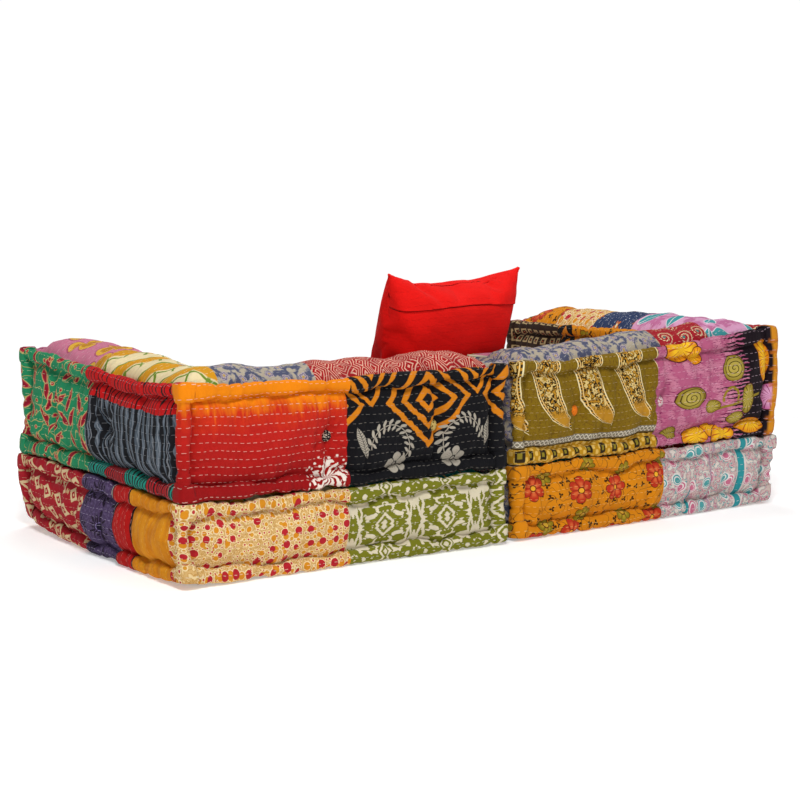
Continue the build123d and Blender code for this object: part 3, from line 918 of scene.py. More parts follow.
def marigold():
    """Marigold cotton with red flowers on brown vines, olive flowers and black sprigs."""
    outline = "#5A1E0C"
    cloth = Print("marigold_flower_cotton", "#D4830C")
    cloth.cloud("vine", 26, detail=0.5)
    cloth.paint("#7A4A12", "edge(0.012 - abs(vine - 0.5), 0.01)")
    cloth.scatter(26, 0.6, u="u + 13", turned=3.0)
    cloth.paint("#3A2208", "edge(6.5 * abs(cos(t * 1.5)) - r, 1) * edge(b - 0.35, 0.02)")
    for size, shift, petal, heart, glow, radius in (
        (112, 112, "#8A7A18", "#C9A030", "#C9A030", 19),
        (116, 0, "#B7321A", "#E8A82A", "#E0703A", 28),
    ):
        cloth.scatter(size, 0.3, u=f"u + {shift - 3}", v=f"v + {shift * 0.6 + 30}", turned=6.0)
        cloth.measure(far=f"{radius} * (0.62 + 0.38 * abs(sin(t * 3)) ** 0.6) - r")
        cloth.paint(outline, "edge(far + 1.6, 0.8)")
        cloth.paint(petal, "edge(far, 0.8)")
        cloth.paint(outline, "edge(0.1 - abs(sin(t * 3)), 0.08) * edge(r - 6, 1) * edge(far, 1)")
        cloth.paint(glow, f"edge({radius * 0.62} - r, 6) * edge(0.75 - abs(cos(t * 3)), 0.4) * 0.7")
        cloth.paint(heart, "edge(6 - r, 0.8)")
        cloth.paint(outline, "edge(1.0 - abs(r - 6), 0.5)")
    return cloth.quilted(thread="#F0C878", show=0.6)


def teal_paisley():
    """Pale grey-pink cotton with pink and teal paisleys and upright teal stripes."""
    cloth = Print("teal_paisley_cotton", "#C8B8AE")
    cloth.cloud("curl", 11, detail=1.5)
    cloth.cloud("fine", 6, u="u + 200", detail=1.0)
    cloth.paint("#B86A84", "edge(0.03 - abs(curl - 0.44), 0.02)")
    cloth.paint("#B87A90", "edge(0.02 - abs(fine - 0.5), 0.015) * 0.8")
    cloth.paint("#5E9A9C", "edge(0.025 - abs(curl - 0.57), 0.015)")
    cloth.paint("#D8CEC4", "edge(curl - 0.63, 0.03)")
    for size, shift, ink in ((58, 0, "#C46A86"), (64, 300, "#4E9A9C")):
        cloth.scatter(size, 0.6, u=f"u + {shift}", turned=3.0)
        cloth.measure(far="17 * (0.62 + 0.38 * cos(t - r / 14)) - r")
        cloth.paint("#DDD8D4", "edge(far + 2.4, 0.8)")
        cloth.paint(ink, "edge(far, 0.8)")
        cloth.paint("#E2DCD8", "edge(1.2 - abs(far - 4), 0.6)")
    cloth.paint("#D6C8C2", "edge(13 - abs(u - 106), 1)")
    cloth.paint("#2F8F96", "edge(8.5 - abs(u - 106 + 2 * (curl - 0.5)), 0.8)")
    cloth.paint("#A88A9A", "edge(3 - abs(u - 203), 0.8)")
    cloth.paint("#2F8F96", "edge(2.4 - abs(u - 268), 0.8) * edge(60 - v, 6)")
    return cloth.quilted(thread="#F4F0EE", show=0.5)


def grey_stripes():
    """Grey and black cotton with wavering upright stripes, a red head and a checked red foot."""
    black = "#15161A"
    cloth = Print("grey_striped_cotton", "#48525C")
    cloth.cloud("sway", 70)
    cloth.cloud("wear", 6, v="v / 5", detail=3.0)
    cloth.measure(place="u + 34 * (sway - 0.5) + 2 * wear")
    cloth.paint("#727C88", "edge(wear - 0.55, 0.12) * 0.8")
    cloth.paint(black, "edge(0.2 - abs(part(place / 22) - 0.5), 0.05)")
    cloth.paint(black, "edge(0.10 - abs(part(place / 41 + 0.3) - 0.5), 0.03)")
    cloth.paint("#8A9098", "edge(0.05 - abs(part(place / 22) - 0.1), 0.03) * 0.7")
    head = "edge(v - 324 + 10 * (sway - 0.5), 1.5)"
    cloth.paint("#C21416", head)
    cloth.paint("#1A1214", f"{head} * edge(0.13 - abs(part(place / 15) - 0.5), 0.05)")
    cloth.paint("#24181C", "edge(190 - v, 1.5)")
    for low, ink in ((0, "#B01C22"), (0.5, "#1F8F7E")):
        band = f"edge(190 - v, 1) * edge(0.5 - abs(part(u / 190 + {low}) - 0.5) * 2, 0.01)"
        cloth.paint(ink, f"{band} * edge(0.28 - abs(part(place / 9) - 0.5), 0.08)")
    return cloth.quilted(thread="#C4C6CA", show=0.26)


def green_leaves():
    """Green cotton with red leaves and buds edged in beige, on thin curling stems."""
    beige, red = "#C9B070", "#B3263A"
    cloth = Print("green_leaf_cotton", "#23875A")
    cloth.cloud("stem", 34, detail=0.5)
    cloth.paint("#C0AC66", "edge(0.009 - abs(stem - 0.5), 0.006)")
    for size, shift, long, wide in ((60, 0, 25, 6.2), (66, 210, 20, 5.4)):
        cloth.scatter(size, 0.6, u=f"u + {shift}", turned=2.4)
        cloth.measure(y=f"(y + 0.12 * x * x / {wide}) / {long}")
        cloth.measure(far=f"{wide} * (1 - y * y) * (1.1 - 0.5 * y) - abs(x)")
        for ink, inset in ((beige, "far + 1.9"), (red, "far"), ("#8C1428", "far - 2.6")):
            cloth.paint(ink, f"edge({inset}, 0.8) * edge(1 - abs(y), 0.08)")
    cloth.scatter(30, 0.7, u="u + 90")
    cloth.paint(beige, "edge(4.6 - r, 0.8) * edge(b - 0.45, 0.02)")
    cloth.paint(red, "edge(3.2 - r, 0.8) * edge(b - 0.45, 0.02)")
    return cloth.quilted(thread="#D8E0B8", show=0.6)


def ochre_plain():
    """Plain ochre cotton with upright rows of running stitches."""
    cloth = Print("ochre_plain_cotton", "#D07E10")
    cloth.cloud("fade", 24, v="v / 3")
    cloth.paint("#E39A1E", "edge(fade - 0.52, 0.2) * 0.6")
    return cloth.quilted(thread="#F2C45A", show=0.6, upright=True)


def red_strip():
    """A strip of red cotton between thin black and white border lines."""
    cloth = Print("red_strip_cotton", "#B21412")
    for border in (475, 555):
        cloth.paint("#1C1418", f"edge(6.5 - abs(u - {border}), 0.8)")
        cloth.paint("#D8CFC4", f"edge(1.3 - abs(u - {border}), 0.6)")
    return cloth.quilted(thread="#F0A090", show=0.7, upright=True)


def purple_bursts():
    """Dusty purple cotton with dark bursts like seed heads."""
    cloth = Print("purple_burst_cotton", "#4A3A5C")
    cloth.cloud("grain", 5, detail=3.0)
    cloth.paint("#5E4E72", "edge(grain - 0.56, 0.1)")
    cloth.scatter(72, 0.35, u="u + 24", v="v + 22")
    rays = "edge(sin(t * 19 + 6 * grain) + 0.25, 0.4)"
    cloth.paint("#231828", f"edge(27 + 6 * sin(t * 13) - r, 2) * {rays}")
    cloth.paint("#191226", "edge(8 - r, 3)")
    cloth.paint("#8A7CB0", "edge(1.0 - abs(r - 9), 0.8) * edge(grain - 0.5, 0.1)")
    return cloth.quilted(thread="#C8BCD8", show=0.5)


def crimson_diamonds():
    """Crimson cotton block-printed with rows of cream diamonds, each round a red heart."""
    ground, cream = "#A41C28", "#D9C194"
    cloth = Print("crimson_triangle_cotton", ground)
    cloth.cloud("rough", 4.5, detail=2.0)
    cloth.measure(
        y="part((v + 6 + 0.2 * u) / 38) * 38 - 19",
        row="whole((v + 6 + 0.2 * u) / 38)",
        x="part((u + 25 * row) / 50) * 50 - 25",
        far="1 - abs(x) / 19 - abs(y + 0.2 * x) / 15 + 0.2 * (rough - 0.5)",
    )
    cloth.paint(cream, "edge(far, 0.05)")
    cloth.paint(ground, "edge(far - 0.46, 0.05)")
    cloth.paint(cream, "edge(far - 0.8, 0.05)")
    cloth.measure(gap="25 - abs(x)")
    cloth.paint("#C9A878", "edge(4.2 - gap, 0.8) * edge(5 - abs(y), 1) * edge(rough - 0.42, 0.05)")
    return cloth.quilted(thread="#E6C8A8", show=0.45)


def red_labyrinth():
    """Cotton printed all over with a fine red and white labyrinth of zigzags."""
    cloth = Print("red_labyrinth_cotton", "#A41418")
    cloth.cloud("tile", 38, detail=0.0)
    cloth.measure(bent="abs(fold(u, 22)) + abs(fold(v + 9 * tile, 17)) + 26 * tile")
    cloth.paint("#DFB29C", "edge(0.15 - abs(part(bent / 8.4) - 0.5), 0.06)")
    cloth.paint("#8C2228", "edge(tile - 0.6, 0.05) * 0.35")
    return cloth.quilted(thread="#EAD0C4", show=0.35)


def grey_floral():
    """Grey cotton with washed-out navy, beige and small lilac flowers."""
    cloth = Print("grey_floral_cotton", "#7C7A84")
    cloth.cloud("wash", 15, detail=3.0)
    cloth.paint("#4C5068", "edge(wash - 0.54, 0.05)")
    cloth.paint("#ADA28E", "edge(0.48 - wash, 0.05)")
    cloth.scatter(36, 0.6, turned=6.0)
    cloth.measure(far="9.5 * (0.7 + 0.3 * abs(sin(t * 2.5))) - r")
    cloth.paint("#A89AA0", "edge(far, 1)")
    cloth.paint("#5E5A7A", "edge(0.9 - abs(far - 3), 0.6)")
    cloth.paint("#B89A48", "edge(2.4 - r, 0.8)")
    return cloth.quilted(thread="#D8D4CC", show=0.4)


def cream_lattice():
    """Cream cotton with broad green brush lines and ochre bands."""
    green = "#6E8A2A"
    cloth = Print("cream_lattice_cotton", "#E4D2A4")
    cloth.cloud("drift", 60)
    cloth.measure(lean="u * 0.8 + v + 40 * drift", other="u - v * 0.7 + 30 * drift")
    cloth.paint("#D2941A", "edge(0.2 - abs(part(lean / 105) - 0.5), 0.03)")
    cloth.paint(green, "edge(0.05 - abs(part(lean / 52) - 0.5), 0.02)")
    band = "edge(0.3 - abs(part(lean / 105) - 0.0), 0.05)"
    cloth.paint(green, f"edge(0.07 - abs(part(other / 47) - 0.5), 0.02) * {band}")
    return cloth.quilted(thread="#F2EAD0", show=0.6)


def pink_ochre_petals():
    """Pink cotton with big ochre and yellow petals."""
    cloth = Print("pink_ochre_cotton", "#C87690")
    cloth.scatter(105, 0.6, u="u + 30", turned=6.0)
    cloth.measure(far="44 * abs(cos(t * 1.5)) ** 0.5 - r")
    cloth.paint("#D8A838", "edge(far, 1.5)")
    cloth.paint("#B9801C", "edge(far - 12, 2)")
    cloth.paint("#A84E6C", "edge(1.8 - abs(far), 1)")
    return cloth.quilted(thread="#F0DCD8", show=0.6)


def red_spirals():
    """Red cotton with cream dots in spirals."""
    cloth = Print("red_spiral_cotton", "#A01A26")
    cloth.scatter(48, 0.3)
    cloth.measure(line="abs(part((r - 1.4 * t) / 8.8) - 0.5)")
    dots = "edge(0.3 - abs(part(r * t / 7) - 0.5), 0.1)"
    cloth.paint("#DCC9A0", f"edge(0.2 - line, 0.05) * {dots} * edge(19 - r, 1)")
    cloth.paint("#3E7C78", "edge(3.4 - r, 0.8)")
    return cloth.quilted(thread="#E8C8A8", show=0.5)


def brown_squares():
    """Dark brown cotton with small beige squares in rows."""
    ground = "#33241C"
    cloth = Print("brown_square_cotton", ground)
    cloth.measure(x="abs(part(u / 25) - 0.5)", y="abs(part(v / 25) - 0.5)")
    cloth.paint("#B39A6E", "edge(0.3 - max(x, y), 0.04)")
    cloth.paint(ground, "edge(0.17 - max(x, y), 0.04)")
    cloth.paint("#A04028", "edge(0.06 - max(x, y), 0.03)")
    return cloth.quilted(thread="#C8B48C", show=0.4)


def navy_speckle():
    """Navy cotton with pale speckles and a few orange buds."""
    cloth = Print("navy_speckle_cotton", "#2C3A5C")
    cloth.scatter(9, 0.9)
    cloth.paint("#C8CCD4", "edge(1.6 * a - r, 0.5)")
    cloth.scatter(62, 0.6, turned=6.0)
    cloth.paint("#C86A2A", "edge(12 * abs(cos(t * 2.5)) - r, 1)")
    cloth.paint("#E8D8A8", "edge(3.5 - r, 0.8)")
    return cloth.quilted(thread="#D8DCE4", show=0.5)


def teal_plain():
    """Faded teal cotton, as shows on the seats."""
    cloth = Print("teal_faded_cotton", "#1F7F78")
    cloth.cloud("wash", 28, detail=3.0)
    cloth.paint("#3A9A8E", "edge(wash - 0.52, 0.15) * 0.7")
    cloth.measure(stripe="abs(part((u + v) / 46) - 0.5)")
    cloth.paint("#C8B060", "edge(0.04 - stripe, 0.02)")
    return cloth.quilted(thread="#D8E8D8", show=0.6)


def rosy_teal_leaf():
    """Washed pink cotton with big teal leaves and white veins."""
    pale = "#E4DCE0"
    cloth = Print("rosy_leaf_cotton", "#BC6C96")
    cloth.cloud("soft", 30)
    cloth.paint("#D49ABC", "edge(soft - 0.52, 0.12)")
    cloth.scatter(96, 0.4, turned=6.0)
    cloth.measure(far="17 * (1 - (x / 40) ** 2) - abs(y)")
    cloth.paint(pale, "edge(far + 2, 1)")
    cloth.paint("#3E9498", "edge(far, 1)")
    cloth.paint(pale, "edge(0.9 - abs(y), 0.6) * edge(far, 1)")
    return cloth.quilted(thread="#F0DCE4", show=0.6)


def canvas_underside():
    """Unbleached cotton canvas, the plain cloth under each cushion."""
    cloth = Print("underside_canvas", "#B8A684")
    cloth.cloud("slub", 7, v="v * 3", detail=2.0)
    cloth.paint("#A08E6C", "edge(slub - 0.55, 0.1) * 0.5")
    return cloth.quilted(thread="#D8CCB0", show=0.0, puff=0.0)


JOIN_STEPS = 200


def patches(ends, length):
    """Which patch of a panel a spot is on, counted along the panel's running order."""

    def patch(u, v):
        return sum(u > end * length for end in ends)

    return patch


def only(u, v):
    """The one patch of a panel cut from a single print."""
    return 0


def joins_of(panels, outline):
    """Where the patches of each side panel are joined, by side."""
    joins = {}
    for side, rule, _ in panels.values():
        if side not in ("top", "bottom"):
            start, end = Vector(outline[side]), Vector(outline[(side + 1) % len(outline)])
            length = (end - start).length
            steps = [length * step / JOIN_STEPS for step in range(JOIN_STEPS + 1)]
            joins[side] = [
                (low + high) / 2
                for low, high in zip(steps, steps[1:])
                if rule(low, 0) != rule(high, 0)
            ]
    return joins


ARM_LENGTH = UNIT_DEPTH - BOLSTER_THICKNESS
REST_LENGTH = UNIT_WIDTH - BOLSTER_THICKNESS
BACK_JOIN = {"left": 0.49, "right": 0.45}
BASE_WRAP = {"left": 0.05, "right": ROLL_WRAP}
placings = {"left": left_place, "right": right_place}
covers, shells, cushions = {}, {}, {}
dotted, ikat, tied, wreaths = dotted_cream(), green_ikat(), tie_dye(), black_wreaths()
olive, pink, flowers, paisley = olive_paisley(), pink_petals(), marigold(), teal_paisley()
stripes, leaves, ochre, strip = grey_stripes(), green_leaves(), ochre_plain(), red_strip()
bursts, diamonds, labyrinth = purple_bursts(), crimson_diamonds(), red_labyrinth()
slate, lattice, petals, spirals = grey_floral(), cream_lattice(), pink_ochre_petals(), red_spirals()
squares, speckle, teal, canvas = brown_squares(), navy_speckle(), teal_plain(), canvas_underside()
rosy = rosy_teal_leaf()


def quarters(u, v):
    """Four patches, two by two, on a seat."""
    return (u > UNIT_WIDTH / 2) + 2 * (v > UNIT_DEPTH / 2)


def left_top(u, v):
    """The left bolster's top: the arm's end, its corner and two along the back rest."""
    arm_join, corner_join, rest_join = 0.54, 0.13, 0.41
    across, along = u / UNIT_WIDTH, v / UNIT_DEPTH
    if along > arm_join:
        return 0
    if across < corner_join or v > BOLSTER_THICKNESS:
        return 1
    return 2 if across < rest_join else 3


def right_top(u, v):
    """The right bolster's top: three along the arm, its corner and two along the back rest."""
    arm_joins, corner_join, rest_join = (0.42, 0.6, 0.78), 0.24, 0.42
    across, along = u / UNIT_WIDTH, v / UNIT_DEPTH
    if along > arm_joins[0]:
        return (along < arm_joins[2]) + (along < arm_joins[1])
    if across < corner_join or v > BOLSTER_THICKNESS:
        return 3
    return 4 if across < rest_join else 5


# Each panel: its side of the block, the rule of its patches, and the prints they are cut from.
base_panels = {
    "left": {
        "back": (0, patches([BACK_JOIN["left"]], UNIT_WIDTH), [dotted, ikat]),
        "join": (1, only, [paisley]),
        "front": (2, patches([0.5], UNIT_WIDTH), [petals, flowers]),
        "arm": (3, patches([0.44, 0.62, 0.73], UNIT_DEPTH), [diamonds, bursts, strip, ochre]),
        "top": ("top", quarters, [lattice, teal, labyrinth, speckle]),
        "underside": ("bottom", only, [canvas]),
    },
    "right": {
        "back": (0, patches([BACK_JOIN["right"]], UNIT_WIDTH), [paisley, flowers]),
        "join": (1, only, [slate]),
        "front": (2, patches([0.5], UNIT_WIDTH), [diamonds, dotted]),
        "arm": (3, patches([0.5], UNIT_DEPTH), [leaves, spirals]),
        "top": ("top", quarters, [spirals, teal, petals, slate]),
        "underside": ("bottom", only, [canvas]),
    },
}
bolster_panels = {
    "left": {
        "back": (0, patches([0.49], UNIT_WIDTH), [tied, wreaths]),
        "back_end": (1, only, [slate]),
        "inner_back": (2, patches([0.5], REST_LENGTH), [spirals, flowers]),
        "inner_arm": (3, patches([0.5], ARM_LENGTH), [squares, lattice]),
        "arm_end": (4, only, [pink]),
        "arm": (5, patches([0.46], UNIT_DEPTH), [leaves, stripes]),
        "top": ("top", left_top, [petals, lattice, slate, labyrinth]),
        "underside": ("bottom", only, [canvas]),
    },
    "right": {
        "back": (0, patches([0.47], UNIT_WIDTH), [pink, olive]),
        "back_end": (1, only, [slate]),
        "inner_back": (2, patches([0.5], REST_LENGTH), [ikat, petals]),
        "inner_arm": (3, patches([0.52, 0.62], ARM_LENGTH), [flowers, wreaths, squares]),
        "arm_end": (4, only, [labyrinth]),
        "arm": (5, patches([0.46], UNIT_DEPTH), [bursts, diamonds]),
        "top": ("top", right_top, [flowers, dotted, speckle, rosy, spirals, slate]),
        "underside": ("bottom", only, [canvas]),
    },
}


back_outer, back_join = (0, 0), (UNIT_WIDTH, 0)
front_outer, front_join = (0, UNIT_DEPTH), (UNIT_WIDTH, UNIT_DEPTH)

# How each cushion lifts at the corners of its plan: the corner, how much, and how far it reaches.
corner_lifts = {
    "left_base": (
        (back_outer, 0.014, 0.06),
        (front_outer, 0.024, 0.10),
        (back_join, 0.006, 0.06),
        (front_join, 0.005, 0.06),
    ),
    "left_bolster": ((back_outer, 0.010, 0.12), (back_join, 0.006, 0.10)),
    "right_base": ((back_outer, 0.008, 0.05), (back_join, 0.006, 0.06)),
    "right_bolster": ((back_join, 0.006, 0.10),),
}
FOOT_SPREAD, FOOT_REACH = 0.014, 0.10
SIDE_BELLY, SIDE_REACH = 0.006, 0.2
ARM_RISE, ARM_START, ARM_LEAN = 0.018, 0.15, 0.004
BASE_LEAN, BASE_SHIFT = 0.022, 0.003
ARM_SWELL, ARM_FALL, ARM_SHIFT = 0.041, 0.024, 0.012
ARM_BELLY, ARM_REACH = 0.014, 0.15


def corner_near(point, corner, reach):
    """1 at a corner of the plan and less away from it."""
    return math.exp(-(((point.x - corner[0]) ** 2 + (point.y - corner[1]) ** 2) ** 0.5) / reach)


def corner_lift(name, point):
    """How far a cushion's corners lift it, over the plan."""
    return sum(
        most * corner_near(point, corner, reach) for corner, most, reach in corner_lifts[name]
    )


def left_base_settled(point, share):
    """The left base stands a little off the floor at its outer corners."""
    foot = FOOT_SPREAD * corner_near(point, front_outer, FOOT_REACH) * (1 - share) ** 2
    belly = SIDE_BELLY * math.exp(-point.x / SIDE_REACH) * (1 - abs(2 * share - 1))
    return Vector((foot - belly, 0, corner_lift("left_base", point) * (1 - share)))


def left_bolster_settled(point, share):
    """The left bolster is fuller at the end of its arm."""
    end = eased(point.y, ARM_START, UNIT_DEPTH)
    rise = ARM_RISE * end + corner_lift("left_bolster", point)
    return Vector((ARM_LEAN * end, 0, rise * share))


def right_base_settled(point, share):
    """The right base stands a little off the floor at its back corners and leans out at its arm."""
    outer = 1 - point.x / UNIT_WIDTH
    lean = BASE_LEAN * outer**2 * share + BASE_SHIFT * outer
    return Vector((-lean, 0, corner_lift("right_base", point) * (1 - share)))


def right_bolster_settled(point, share):
    """The right bolster rises toward its arm, whose outer side bellies out."""
    outer = 1 - point.x / UNIT_WIDTH
    rise = outer**2 * (ARM_SWELL - ARM_FALL * point.y / UNIT_DEPTH)
    rise += corner_lift("right_bolster", point)
    belly = ARM_BELLY * (1 - (2 * share - 1) ** 2) * math.exp(-point.x / ARM_REACH)
    return Vector((-ARM_SHIFT * outer**3 - belly, 0, rise * share))


settled = {
    "left_base": left_base_settled,
    "left_bolster": left_bolster_settled,
    "right_base": right_base_settled,
    "right_bolster": right_bolster_settled,
}
bolster_floor = BASE_HEIGHT + STACK_GAP
corner_cuts = [BOLSTER_THICKNESS + step for step in (-ROLL_STRIP, 0, ROLL_STRIP)]
for seed, unit in enumerate(("left", "right"), 1):
    for kind in ("base", "bolster"):
        name = f"{unit}_{kind}"
        if kind == "base":
            outline, panels, tufts = base_outline, base_panels[unit], base_tufts
            floor, rim, crown, wrap = 0, BASE_HEIGHT, 0, BASE_WRAP[unit]
            inner_x, inner_y = [BACK_JOIN[unit] * UNIT_WIDTH], []
            fillings = ("filling",)
        else:
            outline, panels, tufts = bolster_outline, bolster_panels[unit], bolster_tufts
            floor, rim, crown, wrap = bolster_floor, UNIT_HEIGHT, BOLSTER_CROWN, ROLL_WRAP
            inner_x, inner_y = corner_cuts, corner_cuts
            fillings = ("back_filling", "arm_filling")
        cuts = (
            [0, ROLL_STRIP, *inner_x, UNIT_WIDTH - ROLL_STRIP, UNIT_WIDTH],
            [0, ROLL_STRIP, *inner_y, UNIT_DEPTH - ROLL_STRIP, UNIT_DEPTH],
            [floor, floor + ROLL_STRIP, rim - ROLL_STRIP, rim],
        )
        joins = joins_of(panels, outline)
        cushion = Cushion(outline, floor, rim, crown, tufts, seed, settled[name], joins)
        cushions[name] = cushion
        made, shells[name] = sewn_cover(cushion, cuts, {0: wrap}, panels, placings[unit])
        for panel, cover in made.items():
            cover.name = f"{name}_{panel}_cover"
            node = f"{name}_{panel}" if panel in ("top", "underside") else f"{name}_{panel}_panel"
            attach(cover, name)
            hidden = [node]
            if panel == "top":
                hidden += [f"{name}_{filling}" for filling in fillings]
                hidden.append(f"{name}_twine")
            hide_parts(*hidden)
            covers[cover.name] = cover

# Tuft buttons: domed discs covered in scraps of the prints, drawn down on waxed twine through
# each cushion, with the scrap's gathers showing round their rims.

BUTTON_RADIUS = 0.0122
BUTTON_HEIGHT = 0.0080
BUTTON_BACK = 0.3
BUTTON_AROUND, BUTTON_UP = 28, 12
BUTTON_GATHERS, GATHER_SHARE = 14, 0.035
BUTTON_TURN = 0.37
BUTTON_SINK = 0.0024
LOOK_FROM = 0.08


def button_cloth(name, ground, mark, share):
    """A scrap of print on a button: a worn ground with a few marks."""
    cloth = Print(name, ground)
    cloth.cloud("blot", 4, detail=1.0)
    cloth.paint(mark, f"edge(blot - {share}, 0.03)")
    return cloth.quilted(show=0.0, puff=0.0)


button_cloths = {
    "dark": button_cloth("dark_button_cotton", "#17141A", "#C8BCA8", 0.56),
    "gold": button_cloth("gold_button_cotton", "#C8B068", "#6A4E1A", 0.58),
    "orange": button_cloth("orange_button_cotton", "#EA7A18", "#B4501A", 0.66),
    "rose": button_cloth("rose_button_cotton", "#E4D6D4", "#B03A58", 0.56),
    "green": button_cloth("green_button_cotton", "#1F6E4A", "#B3263A", 0.56),
    "slate": button_cloth("slate_button_cotton", "#454C56", "#17171B", 0.52),
}
button_orders = {
    "left_base": ("gold", "orange", "dark", "rose"),
    "right_base": ("rose", "green", "orange", "dark"),
    "left_bolster": ("dark", "slate", "gold", "slate", "gold", "rose", "orange", "green"),
    "right_bolster": ("rose", "orange", "green", "dark", "orange", "gold", "slate", "gold"),
}


def sew_button(buttons, place, outward, cloth_index, turn):
    """Adds one covered button to a mesh, its flat back on the cloth at a place."""
    cap = bmesh.ops.create_uvsphere(
        buttons, u_segments=BUTTON_AROUND, v_segments=BUTTON_UP, radius=BUTTON_RADIUS
    )["verts"]
    shape = buttons.loops.layers.uv["cloth"]
    for corner in cap:
        angle = math.atan2(corner.co.y, corner.co.x)
        rim = 1 - abs(corner.co.z) / BUTTON_RADIUS
        gather = 1 + GATHER_SHARE * rim * math.cos(BUTTON_GATHERS * angle + turn)
        corner.co.x *= gather
        corner.co.y *= gather
        share = 1 if corner.co.z > 0 else BUTTON_BACK
        corner.co.z *= share * BUTTON_HEIGHT / BUTTON_RADIUS
    faces = {spot for corner in cap for spot in corner.link_faces}
    for spot in faces:
        spot.material_index = cloth_index
        spot.smooth = True
        for corner in spot.loops:
            corner[shape].uv = (corner.vert.co.x + turn, corner.vert.co.y + turn)
    spin = outward.to_track_quat("Z", "Y").to_matrix().to_4x4()
    bmesh.ops.transform(buttons, matrix=Matrix.Translation(place) @ spin, verts=cap)


for name, order in button_orders.items():
    unit = name.split("_")[0]
    mesh = bpy.data.meshes.new(f"{name}_covered_buttons")
    buttons = bmesh.new()
    buttons.loops.layers.uv.new("cloth")
    worn = sorted(set(order))
    cushion = cushions[name]
    for number, (at, face) in enumerate(cushion.tufts):
        way = (placings[unit].to_3x3() @ cushion.outward(face)).normalized()
        start = placings[unit] @ Vector(at) + way * LOOK_FROM
        place, lie, _, _ = shells[name].ray_cast(start, -way)
        if lie.dot(way) < 0:
            lie = -lie
        lie = (lie + 2 * way).normalized()
        cloth_name = order[number % len(order)]
        place += lie * BUTTON_SINK
        sew_button(buttons, place, lie, worn.index(cloth_name), BUTTON_TURN * number)
    buttons.to_mesh(mesh)
    buttons.free()
    for cloth_name in worn:
        mesh.materials.append(button_cloths[cloth_name])
    caps = placed(f"{name}_covered_buttons", mesh)
    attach(caps, name)
    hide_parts(f"{name}_buttons")

# Throw pillow: a plain red cotton envelope over a soft pad, closed by a lap across its back, near
# the top. It is blown up like a real one, so it keeps its pinched corners and thin edges.

PILLOW_SIDE = 0.400
PILLOW_THIN = 0.006
PILLOW_FULL = 0.056
START_SHARE = 0.55
RIPPLE, RIPPLE_WAVE = 0.0030, 0.05
BLOWN_FRAMES = 20
MOST_MOVED = 0.040
BLOWN_WIDTH, BLOWN_HEIGHT = 0.98, 1.045
EASING_ROUNDS, EASING = 5, 0.5
LAP_HEIGHT = 0.340
LAP_WIDTH = 0.022
LAP_BOW = 0.020
HEM_RISE = 0.0036
HEM_BAND = (0.018, 0.0396)
HEM_TURN, HEM_SINK = 0.001, 0.9
HEM_NEAR = 1e-4
ROUNDING = 0.6
SLOUCH = 0.014
FOLD_DEPTH, FOLD_LENGTH, FOLD_WIDTH = 0.0026, 0.11, 0.028
FOLD_LEAN, FOLD_WANDER, FOLD_WAVE = 0.35, 0.02, 0.09
PILLOW_YAW = math.radians(8)
PILLOW_LEAN = math.radians(16)
PILLOW_FOOT = Vector((-0.0175, -0.066357, 0.1609))
PILLOW_LIFT = 0.003
PRESS_DEPTH = 0.014
PRESS_REACH = 0.045
PRESS_SPAN = (-0.02, 0.03)

across = Vector((math.cos(PILLOW_YAW), math.sin(PILLOW_YAW), 0))
facing_back = Vector(
    (
        math.sin(PILLOW_YAW) * math.cos(PILLOW_LEAN),
        -math.cos(PILLOW_YAW) * math.cos(PILLOW_LEAN),
        -math.sin(PILLOW_LEAN),
    )
)
upward = facing_back.cross(across)
pillow_place = Matrix.Translation(PILLOW_FOOT + Vector((0, 0, PILLOW_LIFT))) @ Matrix(
    (across, upward, facing_back)
).transposed().to_4x4()


def red_cotton(name, painted_lap_shadow):
    """Plain red cotton: a tight weave, softly creased, with painted light and shade (lighter
    towards the top, darker towards the foot), and where it laps, a painted shadow line.
    """
    cloth = Print(name, "#C80A0A")
    cloth.cloud("soft", 90, detail=1.0)
    cloth.paint("#DA1210", "edge(soft - 0.5, 0.3) * 0.6")
    # Painted light and shade: the upper half is painted lighter, as lit from above, and the bottom
    # darker, as shaded where the pillow rests on the seat.
    cloth.paint("#EA1C18", "edge(v - 262, 160) * 0.8")
    cloth.paint("#A4080A", "edge(90 - v, 90) * 0.5")
    if painted_lap_shadow:
        # A painted shadow: a dark red line just under the lap's hem, where the upper panel overlaps
        # the lower one.
        cloth.paint("#5E0406", f"edge(1.3 - abs(v - {1000 * LAP_HEIGHT - 1}), 1.4) * 0.8")
    return cloth.quilted(show=0.0, puff=0.0, gloss=0.05)


def pillow_profile(u, v):
    """How full the pillow is over a spot of its square, before it is blown up."""
    x, y = 2 * u / PILLOW_SIDE, 2 * v / PILLOW_SIDE - 1
    return max((1 - x * x) * (1 - y * y), 0) ** 0.5


half = PILLOW_SIDE / 2


def lap_bow(x):
    """How much higher than at its ends the lap lies on the cloth."""
    return LAP_BOW * (1 - (x / half) ** 2)


envelope = plain_block(
    [(-half, 0), (half, 0), (half, PILLOW_SIDE), (-half, PILLOW_SIDE)],
    -PILLOW_THIN / 2,
    PILLOW_THIN / 2,
    [-half, half],
    [0, PILLOW_SIDE],
    [-PILLOW_THIN / 2, PILLOW_THIN / 2],
)
for corner in envelope.verts:
    side = 1 if corner.co.z > 0 else -1
    full = pillow_profile(corner.co.x, corner.co.y)
    spot = Vector((corner.co.x / RIPPLE_WAVE, corner.co.y / RIPPLE_WAVE, side))
    corner.co.z += side * START_SHARE * PILLOW_FULL * full
    corner.co.z += side * RIPPLE * noise.noise(spot) * full

